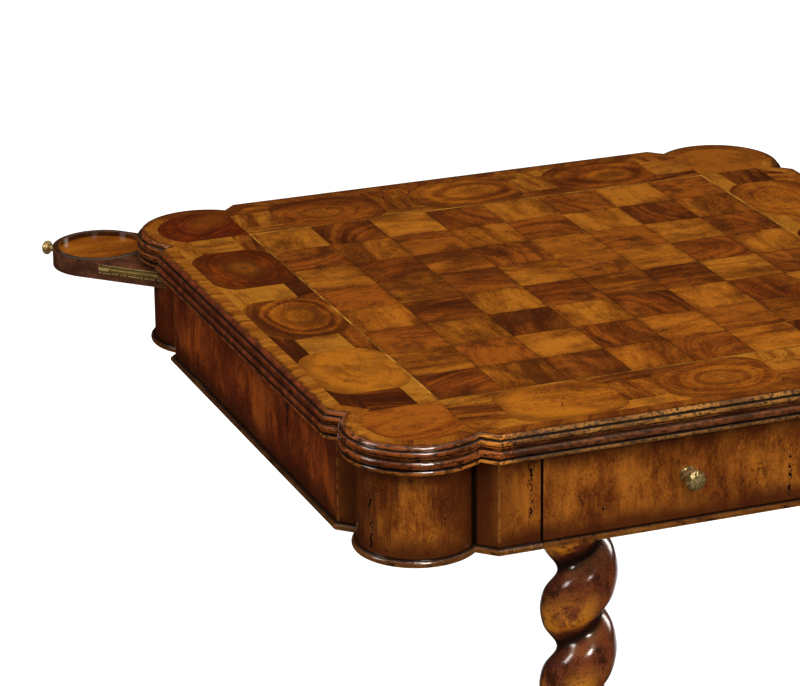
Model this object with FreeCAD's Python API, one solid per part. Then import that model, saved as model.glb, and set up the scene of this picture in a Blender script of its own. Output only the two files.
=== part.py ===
import FreeCAD, Part
import os
import math

# Chess table on a twisted pedestal, in millimetres.
# +Z is up, the origin is on the floor under the column, the drawer with the nearer knob faces -Y.
# Two drawers open along -Y and +Y; two round-ended slides draw out along one diagonal of the top.

Vec = FreeCAD.Vector
UP = Vec(0, 0, 1)

# --- driving dimensions -------------------------------------------------------------------------
table_height = 762.0
square = 63.1               # one square of the board
stringing = 2.0             # light line round the board
veneer = 1.5                # thickness of the inlaid top
crossband_width = 14.9

frieze_half = 343.3         # centre of the table to a straight frieze face
lobe_radius = 53.3          # rounded corner, measured on the frieze
shoulder_setback = 2.7      # slanted shoulder face, behind the centre of the lobe
crossband_reach = 9.2       # the inlaid top stands this far beyond the frieze
rail_thickness = 18.0

edge_depth = 11.4           # moulded edge of the top board
top_depth = 28.0            # top board with the moulding under it
apron_depth = 117.5         # top surface to the lowest bead
bead_height = 7.5

drawer_left = -192.4        # seams beside the front drawer
drawer_right = 92.4
drawer_depth = 235.0
drawer_side_top = 702.0
drawer_gap = 0.8

slide_travel = 117.2
slide_half = 49.2           # half the width of the slide, and the radius of its round end
slide_length = 230.0        # straight part, behind the centre of the round end
slide_bottom = 710.2
slide_top = 729.2
recess_radius = 43.2

base_half = 205.0
base_lobe_radius = 40.0
platform_bottom = 48.0
platform_top = 82.0

twist_pitch = 84.8
twist_waves = (32.8, 8.1, -2.2, 0.6)    # radius of the strand as a sum of waves round the axis
twist_bottom = 133.0
twist_top = 600.0
twist_phase = 60.6          # direction of the crest at the bottom of the twist, in degrees

# --- dimensions that follow ---------------------------------------------------------------------
lobe_centre = frieze_half - lobe_radius
top_underside = table_height - top_depth
apron_bottom = table_height - apron_depth
frieze_bottom = apron_bottom + bead_height
veneer_bottom = table_height - veneer
board_half = 4 * square
border_inner = board_half + stringing
border_outer = frieze_half + crossband_reach - crossband_width
floor_board_bottom = apron_bottom + 1.5
floor_board_top = floor_board_bottom + 10.0
diagonal_of_lobe = lobe_centre * math.sqrt(2)
top_form = (frieze_half, lobe_centre, lobe_radius)
base_form = (base_half, base_half - base_lobe_radius, base_lobe_radius)

nodes = {}


# --- shared shapes ------------------------------------------------------------------------------
def add(name, solids):
    """Keep one named sub-part; solids is a shape or a list of shapes."""
    shapes = solids if isinstance(solids, list) else [solids]
    found = [s for shape in shapes for s in shape.Solids]
    nodes[name] = found[0] if len(found) == 1 else Part.makeCompound(found)


def box(x0, x1, y0, y1, z0, z1):
    return Part.makeBox(x1 - x0, y1 - y0, z1 - z0, Vec(x0, y0, z0))


def prism(points, z0, z1):
    corners = [Vec(x, y, z0) for x, y in points]
    return Part.Face(Part.makePolygon(corners + corners[:1])).extrude(Vec(0, 0, z1 - z0))


def cylinder(radius, start, end):
    axis = end - start
    return Part.makeCylinder(radius, axis.Length, start, axis)


def turned(shape, degrees):
    copy = shape.copy()
    copy.rotate(Vec(0, 0, 0), UP, degrees)
    return copy


def moved(shape, x, y, z=0.0):
    copy = shape.copy()
    copy.translate(Vec(x, y, z))
    return copy


def fused(shapes):
    whole = shapes[0]
    for shape in shapes[1:]:
        whole = whole.fuse(shape)
    return whole.removeSplitter()


def profile_edges(profile, base):
    """Edges of a moulding in the XZ plane. A step (x, z) is a line to that point;
    a step ((x, z), (x, z)) is an arc through the first point to the second."""
    def at(point):
        return Vec(base + point[0], 0, point[1])
    edges = []
    here = profile[0]
    for step in profile[1:]:
        if isinstance(step[0], tuple):
            edges.append(Part.Arc(at(here), at(step[0]), at(step[1])).toShape())
            here = step[1]
        else:
            edges.append(Part.LineSegment(at(here), at(step)).toShape())
            here = step
    return edges, at(profile[0]), at(here)


def raised(profile, z):
    """The same moulding, moved up by z."""
    result = []
    for step in profile:
        if isinstance(step[0], tuple):
            result.append(tuple((x, height + z) for x, height in step))
        else:
            result.append((step[0], step[1] + z))
    return result


def lathe(profile, start=None, direction=UP):
    """Solid turned about an axis from a profile of (radius, height) steps."""
    edges, low, high = profile_edges(profile, 0.0)
    foot = Vec(0, 0, low.z)
    head = Vec(0, 0, high.z)
    if high.x > 1e-6:
        edges.append(Part.LineSegment(high, head).toShape())
    edges.append(Part.LineSegment(head, foot).toShape())
    if low.x > 1e-6:
        edges.append(Part.LineSegment(foot, low).toShape())
    solid = Part.Face(Part.Wire(Part.__sortEdges__(edges))).revolve(Vec(0, 0, 0), UP, 360)
    if start is not None:
        solid.Placement = FreeCAD.Placement(start, FreeCAD.Rotation(UP, direction))
    return solid


def moulded_bar(profile, base, length, degrees):
    """Bar with the moulding on both long edges, its middle line through the origin."""
    right, low, high = profile_edges(profile, base)
    left = [edge.mirror(Vec(0, 0, 0), Vec(1, 0, 0)) for edge in right]
    bottom = Part.LineSegment(Vec(-low.x, 0, low.z), low).toShape()
    top = Part.LineSegment(high, Vec(-high.x, 0, high.z)).toShape()
    face = Part.Face(Part.Wire(Part.__sortEdges__(right + left + [bottom, top])))
    face.translate(Vec(0, -length, 0))
    return turned(face.extrude(Vec(0, 2 * length, 0)), degrees)


def shoulder_distance(form):
    """Table centre to the slanted shoulder face, which runs a little behind the lobe's centre."""
    return form[1] * math.sqrt(2) - shoulder_setback


def moulded_octagon(form, profile):
    """Plate with a moulded edge, without its lobes: crossed bars for its sides and shoulders."""
    half = form[0]
    plate = moulded_bar(profile, half, 2 * half, 0)
    plate = plate.common(moulded_bar(profile, half, 2 * half, 90))
    for degrees in (45, 135):
        plate = plate.common(moulded_bar(profile, shoulder_distance(form), 2 * half, degrees))
    return plate


def moulded_lobes(form, profile):
    """The turned discs of the four corners."""
    half, centre, radius = form
    disc = lathe([(radius + s[0], s[1]) if not isinstance(s[0], tuple)
                  else tuple((radius + x, z) for x, z in s) for s in profile])
    return [moved(disc, sx * centre, sy * centre) for sx in (-1, 1) for sy in (-1, 1)]


def moulded_plate(form, profile):
    """Lobed square plate with a moulded edge."""
    return fused([moulded_octagon(form, profile)] + moulded_lobes(form, profile))


def corner_offset(form, grow):
    """Half length of a straight side, grown outwards, up to its corner with the shoulder."""
    half = form[0] + grow
    return math.sqrt(2) * (shoulder_distance(form) + grow) - half


def plate_without_lobes(form, grow, z0, z1):
    half = form[0] + grow
    side = corner_offset(form, grow)
    quarter = [(half, -side), (half, side)]
    points = []
    for _ in range(4):
        points += quarter
        quarter = [(-y, x) for x, y in quarter]
    return prism(points, z0, z1)


def lobed_plate(form, grow, z0, z1):
    half, centre, radius = form
    discs = [Part.makeCylinder(radius + grow, z1 - z0, Vec(sx * centre, sy * centre, z0))
             for sx in (-1, 1) for sy in (-1, 1)]
    return fused([plate_without_lobes(form, grow, z0, z1)] + discs)


def side_wedge(form, z0, z1):
    """Block over one straight side, +X, whose ends are the mitres."""
    inner, outer = -60.0, 40.0
    near = corner_offset(form, inner)
    far = corner_offset(form, outer)
    half = form[0]
    points = [(half + inner, -near), (half + outer, -far), (half + outer, far), (half + inner, near)]
    return prism(points, z0, z1)


def mitred(form, ring, z0, z1):
    """Cut a ring round the table at its mitres: four straight lengths and four corner pieces."""
    wedges = [turned(side_wedge(form, z0, z1), 90 * k) for k in range(4)]
    straights = [ring.common(wedge) for wedge in wedges]
    corners = ring
    for wedge in wedges:
        corners = corners.cut(wedge)
    return straights, corners.Solids


def lobe_wedges(form, z0, z1):
    """Blocks over the four lobes, whose faces are the mitres where a lobe meets its shoulders."""
    step = 3.0
    mitre = []
    for k in range(-4, 9):
        grow = step * k
        setback = grow - shoulder_setback
        mitre.append((shoulder_distance(form) + grow, math.sqrt((form[2] + grow) ** 2 - setback ** 2)))
    outside = mitre[-1][0] + form[2]
    points = mitre + [(outside, mitre[-1][1])]
    points += [(u, -v) for u, v in reversed(points)]
    return [turned(prism(points, z0, z1), degrees) for degrees in (45, 135, 225, 315)]


def corner_solid(solids, sx, sy):
    """The one of four corner solids that lies in the quadrant sx, sy."""
    return [s for s in solids if s.CenterOfMass.x * sx > 0 and s.CenterOfMass.y * sy > 0][0]


# --- base ---------------------------------------------------------------------------------------
foot_profile = [(26.0, 0.0), ((42.0, 21.0), (27.0, 40.0)), (24.0, 42.0), (24.0, 44.5),
                (30.0, 45.5), (30.0, platform_bottom)]
platform_profile = [(2.0, 0.0), ((4.5, 6.0), (2.0, 12.0)), (0.0, 12.5), (0.0, 18.0),
                    ((-4.5, 21.5), (-10.0, 29.0)), (-12.0, 29.5), (-12.0, platform_top - platform_bottom)]
plinth_profile = [(88.0, 0.0), ((96.0, 8.0), (88.0, 16.0)), (85.0, 16.0), (85.0, 19.0),
                  ((72.4, 22.9), (64.0, 33.0)), (68.0, 33.0), (68.0, 35.5),
                  ((72.0, 39.0), (66.0, 42.5)), (58.0, 44.0)]
dowel_radius = 6.0
dowel_reach = 14.0
bolt_radius = 5.0
bolt_top = 112.0
plinth_top = platform_top + 44.0
tenon_radius = 25.0
foot_spread = base_form[1]


def foot_places():
    return [(sx * foot_spread, sy * foot_spread) for sx in (-1, 1) for sy in (-1, 1)]


def make_base():
    dowel = Part.makeCylinder(dowel_radius, 2 * dowel_reach, Vec(0, 0, platform_bottom - dowel_reach))
    dowels = [moved(dowel, x, y) for x, y in foot_places()]
    add("bun_feet", [moved(lathe(foot_profile).cut(dowel), x, y) for x, y in foot_places()])
    add("foot_dowels", dowels)
    platform = moulded_plate(base_form, raised(platform_profile, platform_bottom))
    washer_top = platform_bottom + 12.0
    counterbore = Part.makeCylinder(15.0, 12.0, Vec(0, 0, platform_bottom))
    shank = Part.makeCylinder(bolt_radius, bolt_top - washer_top, Vec(0, 0, washer_top))
    for dowel in dowels:
        platform = platform.cut(dowel)
    add("base_platform", platform.cut(counterbore).cut(shank))
    socket = Part.makeCylinder(tenon_radius, 60.0, Vec(0, 0, platform_top))
    add("column_plinth", lathe(raised(plinth_profile, platform_top)).cut(socket))
    washer = Part.makeCylinder(14.0, 2.0, Vec(0, 0, washer_top - 2.0))
    head = prism([(9.0 * math.cos(math.radians(a)), 9.0 * math.sin(math.radians(a)))
                  for a in range(0, 360, 60)], washer_top - 9.0, washer_top - 2.0)
    add("column_bolt", fused([shank, washer, head]))


# --- column -------------------------------------------------------------------------------------
cap_bottom = 618.0
cap_half = 88.0
cap_profile = [(-14.0, 0.0), ((-5.8, 3.8), (-2.0, 12.0)), (0.0, 13.0)]
column_head = [(41.5, 0.0), ((44.5, 4.0), (41.5, 8.0)), (34.0, 9.0), ((42.1, 15.4), (52.0, 18.0))]
sections_per_turn = 8


def strand_section(z):
    """Horizontal cut of the twisted strand: full at the crest, pinched to a valley behind it."""
    turn = math.radians(twist_phase) + 2 * math.pi * (z - twist_bottom) / twist_pitch
    points = []
    steps = 16
    for k in range(steps + 1):
        angle = -math.pi + 2 * math.pi * k / steps
        reach = sum(wave * math.cos(number * angle) for number, wave in enumerate(twist_waves))
        points.append(Vec(reach * math.cos(angle + turn), reach * math.sin(angle + turn), z))
    points[-1] = points[0]
    curve = Part.BSplineCurve()
    curve.interpolate(points)
    return Part.Wire([curve.toShape()])


def make_column():
    """Barley twist: a loft through sections of the strand that turn as they climb the axis."""
    height = twist_top - twist_bottom
    sections = math.ceil(sections_per_turn * height / twist_pitch)
    levels = [twist_bottom + height * k / sections for k in range(sections + 1)]
    strand = Part.makeLoft([strand_section(z) for z in levels], True)
    foot = Part.makeCylinder(41.5, twist_bottom - plinth_top, Vec(0, 0, plinth_top))
    tenon = Part.makeCylinder(tenon_radius, plinth_top - platform_top, Vec(0, 0, platform_top))
    head = lathe(raised(column_head, twist_top))
    top_tenon = Part.makeCylinder(tenon_radius, floor_board_bottom - cap_bottom, Vec(0, 0, cap_bottom))
    column = strand.fuse([foot, tenon, head, top_tenon])
    bolt_hole = Part.makeCylinder(bolt_radius, bolt_top - platform_top, Vec(0, 0, platform_top))
    add("twisted_column", column.cut(bolt_hole))


def make_cap():
    """Square block that joins the column to the carcass, with its four screws."""
    profile = raised(cap_profile + [(0.0, floor_board_bottom - cap_bottom)], cap_bottom)
    block = moulded_bar(profile, cap_half, 2 * cap_half, 0)
    block = block.common(moulded_bar(profile, cap_half, 2 * cap_half, 90))
    block = block.cut(Part.makeCylinder(tenon_radius, 60.0, Vec(0, 0, cap_bottom)))
    screws = []
    for sx in (-1, 1):
        for sy in (-1, 1):
            x, y = 60.0 * sx, 28.0 * sy
            head = Part.makeCylinder(5.0, 3.0, Vec(x, y, cap_bottom))
            shank = Part.makeCylinder(2.5, 60.0, Vec(x, y, cap_bottom + 3.0))
            screws.append(head.fuse(shank))
    for screw in screws:
        block = block.cut(screw)
    add("column_cap_block", block)
    add("cap_screws", screws)
    return screws


# --- carcass ------------------------------------------------------------------------------------
bead_profile = [(2.4, 0.0), ((4.6, 3.3), (2.2, 6.5)), (0.8, 6.7), (0.8, bead_height)]
bearer_half = 40.0
bearer_top = 700.0
rail_inner = frieze_half - rail_thickness
slot_half = slide_half + 0.4
slot_bottom = slide_bottom - 0.5


def drawer_window(z0, z1):
    return box(drawer_left, drawer_right, -frieze_half - 30.0, -rail_inner + 6.0, z0, z1)


def slide_slot():
    """Room for the slide through the corner at +X -Y."""
    slot = box(diagonal_of_lobe - 70.0, diagonal_of_lobe + 90.0, -slot_half, slot_half,
               slot_bottom, top_underside)
    return turned(slot, -45)


def make_carcass(cap_screws):
    board = plate_without_lobes(top_form, -rail_thickness, floor_board_bottom, floor_board_top)
    bearer = box(-rail_inner, rail_inner, -bearer_half, bearer_half, floor_board_top, bearer_top)
    for screw in cap_screws:
        board = board.cut(screw)
        bearer = bearer.cut(screw)
    add("bottom_board", board)
    add("centre_bearer", bearer)

    ring = lobed_plate(top_form, 0.0, frieze_bottom, top_underside)
    ring = ring.cut(plate_without_lobes(top_form, -rail_thickness, frieze_bottom, top_underside))
    straights, posts = mitred(top_form, ring, frieze_bottom, top_underside)
    right, back, left, front = straights
    add("right_rail", right)
    add("left_rail", left)
    window = drawer_window(frieze_bottom, top_underside)
    for name, rail, turn in (("front", front, 0), ("back", back, 180)):
        pieces = rail.cut(turned(window, turn)).Solids
        pieces.sort(key=lambda s: s.CenterOfMass.x)
        add(name + "_rail_left", pieces[0])
        add(name + "_rail_right", pieces[1])
    for name, sx, sy in (("front_left", -1, -1), ("front_right", 1, -1),
                         ("back_left", -1, 1), ("back_right", 1, 1)):
        post = corner_solid(posts, sx, sy)
        if sx != sy:
            post = post.cut(turned(slide_slot(), 0 if sx > 0 else 180))
        add("corner_post_" + name, post)

    bead = moulded_plate(top_form, raised(bead_profile, apron_bottom))
    bead = bead.cut(plate_without_lobes(top_form, -rail_thickness, apron_bottom, frieze_bottom))
    low_window = drawer_window(apron_bottom, frieze_bottom)
    add("bottom_bead", bead.cut(low_window).cut(turned(low_window, 180)))


def make_fittings():
    """Rails, cleats, drawer guides and stops inside the carcass."""
    rail = box(-225.0, 200.0, -rail_inner, -rail_inner + 20.0, top_underside - 14.0, top_underside)
    add("top_rails", [rail, turned(rail, 180)])
    cleat = box(rail_inner - 22.0, rail_inner, -150.0, 150.0, top_underside - 22.0, top_underside)
    screws = []
    for sx in (-1, 1):
        for y in (-120.0, 0.0, 120.0):
            x = sx * (rail_inner - 11.0)
            head = Part.makeCylinder(4.0, 2.5, Vec(x, y, top_underside - 22.0))
            shank = Part.makeCylinder(2.0, 34.0, Vec(x, y, top_underside - 19.5))
            screws.append(head.fuse(shank))
    cleats = [cleat, turned(cleat, 180)]
    for screw in screws:
        cleats = [piece.cut(screw) for piece in cleats]
    add("top_cleats", cleats)
    add("cleat_screws", screws)

    guide_top = 690.0
    front_end = -rail_inner
    guides = [box(drawer_left - 6.2, drawer_left + 3.8, front_end, -78.0, floor_board_top, guide_top),
              box(drawer_right - 3.8, drawer_right + 6.2, front_end, -78.0, floor_board_top, guide_top)]
    add("drawer_guides", guides + [turned(guide, 180) for guide in guides])
    stop_front = -rail_inner - 0.3 + drawer_depth + 0.3
    stops = [box(x - 12.0, x + 12.0, stop_front, stop_front + 14.0, floor_board_top, 676.0)
             for x in (drawer_left + 40.0, drawer_right - 40.0)]
    add("drawer_stops", stops + [turned(stop, 180) for stop in stops])
    return screws


# --- slides -------------------------------------------------------------------------------------
# Built along +X with the centre of the round end at the origin, then turned onto the diagonal.
end_centre = diagonal_of_lobe + lobe_radius - slide_half    # closed, the end is flush with the lobe
channel_height = 9.4
channel_depth = 5.0
channel_middle = 721.9
groove_height = 5.4
groove_depth = 3.8
channel_outer = 24.0        # behind the centre of the round end
channel_inner = 168.2
channel_tab = 11.0          # solid end of the channel, with its screw
pin_radius = 2.2
pin_setback = channel_outer + channel_tab + pin_radius + 0.3    # stops at both ends of the groove
recess_floor = slide_top - 4.5
rim_outer = recess_radius + 3.0
rim_profile = [(recess_radius, recess_floor), (rim_outer, recess_floor), (rim_outer, slide_top),
               (rim_outer + 2.3, slide_top), ((rim_outer, slide_top + 1.1), (recess_radius, slide_top + 0.3))]
slide_knob_stem = [(5.0, -1.5), (5.0, 1.2), (3.4, 2.0), ((2.9, 5.6), (3.6, 9.3))]
slide_knob_swell = ((7.2, 13.2), (4.4, 17.1))
slide_knob_reach = 17.8
slide_knob_middle = 718.4
# name, direction of the slide, and how far it stands out: one is left pulled out, the other is home
slides = (("back_left", 135, slide_travel), ("front_right", -45, 0.0))


def dome(rim, height, reach):
    """Arc step from a rim to the axis: part of a sphere that is centred on the axis."""
    rise = reach - height
    sphere = (rim ** 2 + rise ** 2) / (2 * rise)
    half_way = rim / 2
    return ((half_way, reach - sphere + math.sqrt(sphere ** 2 - half_way ** 2)), (0.0, reach))


def slide_knob_profile():
    """Small flange and waisted neck, then a flattened ball."""
    rim, height = slide_knob_swell[1]
    return slide_knob_stem + [slide_knob_swell, dome(rim, height, slide_knob_reach)]


def placed_on_diagonal(shape, degrees, out):
    return turned(moved(shape, end_centre + out, 0), degrees)


def channel_screws(side):
    """Screws in the solid ends of a channel, their heads a little below its face."""
    screws = []
    for setback in (channel_outer + channel_tab / 2, channel_inner - channel_tab / 2):
        start = Vec(-setback, side * (slide_half - 0.3), channel_middle)
        head = cylinder(3.0, start, start - Vec(0, side * 1.0, 0))
        shank = cylinder(1.4, start - Vec(0, side * 1.0, 0), start - Vec(0, side * 16.0, 0))
        screws.append(head.fuse(shank))
    return screws


def make_slide(name, degrees, out):
    """Sliding tray with a rounded end, a ringed cup recess and a brass channel in each side."""
    flat = box(-slide_length, 0.0, -slide_half, slide_half, slide_bottom, slide_top)
    end = Part.makeCylinder(slide_half, slide_top - slide_bottom, Vec(0, 0, slide_bottom))
    board = fused([flat, end])
    lining = Part.makeCylinder(recess_radius, veneer, Vec(0, 0, recess_floor - veneer))
    board = board.cut(Part.makeCylinder(rim_outer, 20.0, Vec(0, 0, recess_floor))).cut(lining)
    channels = []
    screws = []
    for side in (-1, 1):
        y0, y1 = sorted((side * (slide_half - channel_depth), side * slide_half))
        g0, g1 = sorted((side * (slide_half - groove_depth), side * slide_half))
        rebate = box(-channel_inner, -channel_outer, y0, y1,
                     channel_middle - channel_height / 2, channel_middle + channel_height / 2)
        groove = box(-channel_inner + channel_tab, -channel_outer - channel_tab, g0, g1,
                     channel_middle - groove_height / 2, channel_middle + groove_height / 2)
        board = board.cut(rebate)
        channels.append(rebate.cut(groove))
        screws += channel_screws(side)
    for screw in screws:
        board = board.cut(screw)
        channels = [channel.cut(screw) for channel in channels]
    knob_base = Vec(slide_half, 0, slide_knob_middle)
    stud = cylinder(2.0, knob_base - Vec(11.0, 0, 0), knob_base)
    knob = lathe(slide_knob_profile(), knob_base, Vec(1, 0, 0)).cut(end).fuse(stud)
    board = board.cut(stud)
    rim = lathe_ring(rim_profile)
    for part_name, shape in (("board", board), ("recess_floor", lining), ("rim", rim),
                             ("channels", channels + screws), ("knob", knob)):
        shapes = shape if isinstance(shape, list) else [shape]
        placed = [placed_on_diagonal(piece, degrees, out) for piece in shapes]
        add("slide_" + name + "_" + part_name, placed)


def lathe_ring(profile):
    """Ring turned about Z from a closed profile of (radius, height) steps."""
    edges, first, last = profile_edges(profile, 0.0)
    edges.append(Part.LineSegment(last, first).toShape())
    return Part.Face(Part.Wire(Part.__sortEdges__(edges))).revolve(Vec(0, 0, 0), UP, 360)


def make_slide_guides():
    """Each slide runs on two L-shaped guides under the top, with a brass pin in each."""
    inner_end = -240.0
    guide_bottom = slot_bottom - 5.7
    outer_end = shoulder_distance(top_form) - rail_thickness - 0.5 - end_centre
    guides = []
    pins = []
    for side in (-1, 1):
        cheek = sorted((side * (slide_half + 0.6), side * (slide_half + 10.6)))
        ledge = sorted((side * (slide_half - 9.4), side * (slide_half + 10.6)))
        upright = box(inner_end, outer_end, cheek[0], cheek[1], guide_bottom, top_underside)
        shelf = box(inner_end, outer_end, ledge[0], ledge[1], guide_bottom, slot_bottom)
        inside = Vec(-pin_setback, side * (slide_half - 3.1), channel_middle)
        outside = Vec(-pin_setback, side * (slide_half + 10.6), channel_middle)
        pin = cylinder(pin_radius, inside, outside)
        guides.append(fused([upright, shelf]).cut(pin))
        pins.append(pin)
    for node, shapes in (("slide_guides", guides), ("slide_guide_pins", pins)):
        add(node, [placed_on_diagonal(shape, degrees, 0.0)
                   for _, degrees, _ in slides for shape in shapes])


# --- drawers ------------------------------------------------------------------------------------
drawer_board = 10.0
drawer_box_bottom = 657.5
drawer_floor = 659.5
drawer_floor_thickness = 5.0
front_back_face = -rail_inner - 0.3
drawer_knob_stem = [(7.6, 0.0), (7.6, 1.6), (6.6, 3.0), (5.6, 12.5), (4.6, 13.2), (4.6, 14.4)]
drawer_knob_head = 9.5
drawer_knob_reach = 21.2
tail_length = 12.0


def dovetails(x0, x1):
    """Two tails that lock a drawer side into the back of the drawer front."""
    tails = []
    for middle in (drawer_box_bottom + 14.0, drawer_side_top - 12.0):
        points = [(front_back_face, middle - 5.0), (front_back_face - tail_length, middle - 7.5),
                  (front_back_face - tail_length, middle + 7.5), (front_back_face, middle + 5.0)]
        corners = [Vec(x0, y, z) for y, z in points]
        tails.append(Part.Face(Part.makePolygon(corners + corners[:1])).extrude(Vec(x1 - x0, 0, 0)))
    return tails


def drawer_knob_profile():
    """Turned stem, then a round head whose face is a shallow dome."""
    head_back = 14.8
    head_front = 18.6
    rim = drawer_knob_head - 1.0
    swell = ((drawer_knob_head, (head_back + head_front) / 2), (rim, head_front))
    return drawer_knob_stem + [(rim, head_back), swell, dome(rim, head_front, drawer_knob_reach)]


def drawer_front_solid():
    x0 = drawer_left + drawer_gap
    x1 = drawer_right - drawer_gap
    panel = box(x0, x1, -frieze_half, front_back_face, frieze_bottom, top_underside - 0.6)
    edges, low, high = profile_edges(raised(bead_profile, apron_bottom), frieze_half)
    back = -front_back_face
    edges.append(Part.LineSegment(high, Vec(back, 0, high.z)).toShape())
    edges.append(Part.LineSegment(Vec(back, 0, high.z), Vec(back, 0, low.z)).toShape())
    edges.append(Part.LineSegment(Vec(back, 0, low.z), low).toShape())
    face = Part.Face(Part.Wire(Part.__sortEdges__(edges)))
    bead = turned(face.extrude(Vec(0, x1 - x0, 0)), -90)
    return fused([panel, moved(bead, x0, 0)])


def make_drawer(name, turn):
    """Drawer whose front is the whole height of the frieze and carries its own length of bead."""
    left = drawer_left + 4.8
    right = drawer_right - 4.8
    end = front_back_face + drawer_depth
    front = drawer_front_solid()
    floor_top = drawer_floor + drawer_floor_thickness
    floor = box(left + 6.0, right - 6.0, front_back_face - 4.0, end, drawer_floor, floor_top)
    sides = []
    for x0 in (left, right - drawer_board):
        side = box(x0, x0 + drawer_board, front_back_face, end, drawer_box_bottom, drawer_side_top)
        tails = dovetails(x0, x0 + drawer_board)
        for tail in tails:
            front = front.cut(tail)
        sides.append(side.fuse(tails).removeSplitter().cut(floor))
    front = front.cut(floor)
    back = box(left + drawer_board, right - drawer_board, end - drawer_board, end,
               floor_top, drawer_side_top - 4.0)
    knob_place = Vec((drawer_left + drawer_right) / 2, -frieze_half, (frieze_bottom + top_underside) / 2)
    stud = cylinder(2.5, knob_place + Vec(0, 13.0, 0), knob_place)
    knob = lathe(drawer_knob_profile(), knob_place, Vec(0, -1, 0)).fuse(stud)
    front = front.cut(stud)
    for part_name, shape in (("front", front), ("sides", sides), ("back", back),
                             ("floor", floor), ("knob", knob)):
        shapes = shape if isinstance(shape, list) else [shape]
        add(name + "_drawer_" + part_name, [turned(piece, turn) for piece in shapes])


# --- top ----------------------------------------------------------------------------------------
core_grow = -4.0
edge_profile = [(13.4, -edge_depth), (13.4, -10.2), (11.6, -9.8), (12.4, -9.4),
                ((15.2, -6.9), (11.6, -4.4)), (11.4, -4.2), (12.2, -3.2),
                ((11.2, -1.0), (crossband_reach, 0.0))]
under_profile = [(9.5, -top_depth), (12.0, -26.6), ((14.8, -24.0), (12.4, -21.6)), (11.4, -21.4),
                 (13.2, -20.8), ((16.2, -16.8), (12.0, -12.8)), (10.6, -12.8), (10.6, -edge_depth)]


def make_top(cleat_screws):
    """Core board, the moulded edge glued round it, and the second moulding under that."""
    core = lobed_plate(top_form, core_grow, top_underside, veneer_bottom)
    for screw in cleat_screws:
        core = core.cut(screw)
    add("top_core", core)
    edge_bottom = table_height - edge_depth
    for name, profile, low, high in (("top_moulding", edge_profile, edge_bottom, table_height),
                                     ("under_moulding", under_profile, top_underside, edge_bottom)):
        inside = lobed_plate(top_form, core_grow, low, high)
        if high == table_height:
            inside = inside.fuse(lobed_plate(top_form, crossband_reach, veneer_bottom, high))
        moulding = raised(profile, table_height)
        ring = moulded_octagon(top_form, moulding).cut(inside)
        straights, shoulders = mitred(top_form, ring, low, high)
        wedges = Part.makeCompound(lobe_wedges(top_form, low, high))
        shoulders = [shoulder.cut(wedges) for shoulder in shoulders]
        lobes = [lobe.cut(inside).common(wedges) for lobe in moulded_lobes(top_form, moulding)]
        add(name, straights + shoulders + lobes)


# --- inlaid veneers -----------------------------------------------------------------------------
oyster_length = 111.8
oyster_pitch = 153.7
oyster_cut = (21.0, 19.0)   # how far the oyster's corners are taken off, along and across the border
oyster_swell = 3.0


def veneer_piece(steps):
    """Thin piece of veneer from a closed outline of line and arc steps."""
    def at(point):
        return Vec(point[0], point[1], veneer_bottom)
    edges = []
    here = steps[0]
    for step in steps[1:] + steps[:1]:
        if isinstance(step[0], tuple):
            edges.append(Part.Arc(at(here), at(step[0]), at(step[1])).toShape())
            here = step[1]
        else:
            edges.append(Part.LineSegment(at(here), at(step)).toShape())
            here = step
    return Part.Face(Part.Wire(edges)).extrude(Vec(0, 0, veneer))


def swelling(start, end, sign_x, sign_y):
    """Arc step from start to end that swells away from the oyster's middle."""
    reach = oyster_swell / math.sqrt(2)
    middle = ((start[0] + end[0]) / 2 + sign_x * reach, (start[1] + end[1]) / 2 + sign_y * reach)
    return (middle, end)


def make_board():
    light = []
    dark = []
    for column in range(8):
        for row in range(8):
            x = (column - 4) * square
            y = (row - 4) * square
            tile = box(x, x + square, y, y + square, veneer_bottom, table_height)
            (dark if (column + row) % 2 == 0 else light).append(tile)
    add("light_squares", light)
    add("dark_squares", dark)
    strip = prism([(board_half, -board_half), (border_inner, -border_inner),
                   (border_inner, border_inner), (board_half, board_half)],
                  veneer_bottom, table_height)
    add("board_stringing", [turned(strip, 90 * k) for k in range(4)])


def border_side(inside):
    """Veneers of one side of the border, the +X side: oysters, and three pieces between each two."""
    inner, outer = border_inner, border_outer
    along, across = oyster_cut
    centres = [-oyster_pitch, 0.0, oyster_pitch]
    oysters = []
    for centre in centres:
        a, b = centre - oyster_length / 2, centre + oyster_length / 2
        corners = [(inner, a + along), (inner + across, a), (outer - across, a), (outer, a + along),
                   (outer, b - along), (outer - across, b), (inner + across, b), (inner, b - along)]
        oysters.append(veneer_piece([
            corners[0], swelling(corners[0], corners[1], -1, -1),
            corners[2], swelling(corners[2], corners[3], 1, -1),
            corners[4], swelling(corners[4], corners[5], 1, 1),
            corners[6], swelling(corners[6], corners[7], -1, 1)]))
    starts = [-border_inner] + [c + oyster_length / 2 for c in centres]
    ends = [c - oyster_length / 2 for c in centres] + [border_inner]
    blocks = []
    wedges = []
    for a, b in zip(starts, ends):
        blocks.append(box(inner + across, outer - across, a, b, veneer_bottom, table_height))
        low = a if a == -border_inner else a - along
        high = b if b == border_inner else b + along
        for near, far in ((inner, inner + across), (outer - across, outer)):
            wedges.append(box(near, far, low, high, veneer_bottom, table_height))
    blocks = [block.common(inside) for block in blocks]
    wedges = [wedge.common(inside) for wedge in wedges]
    for oyster in oysters:
        wedges = [wedge.cut(oyster) for wedge in wedges]
    return oysters, blocks, wedges


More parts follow.
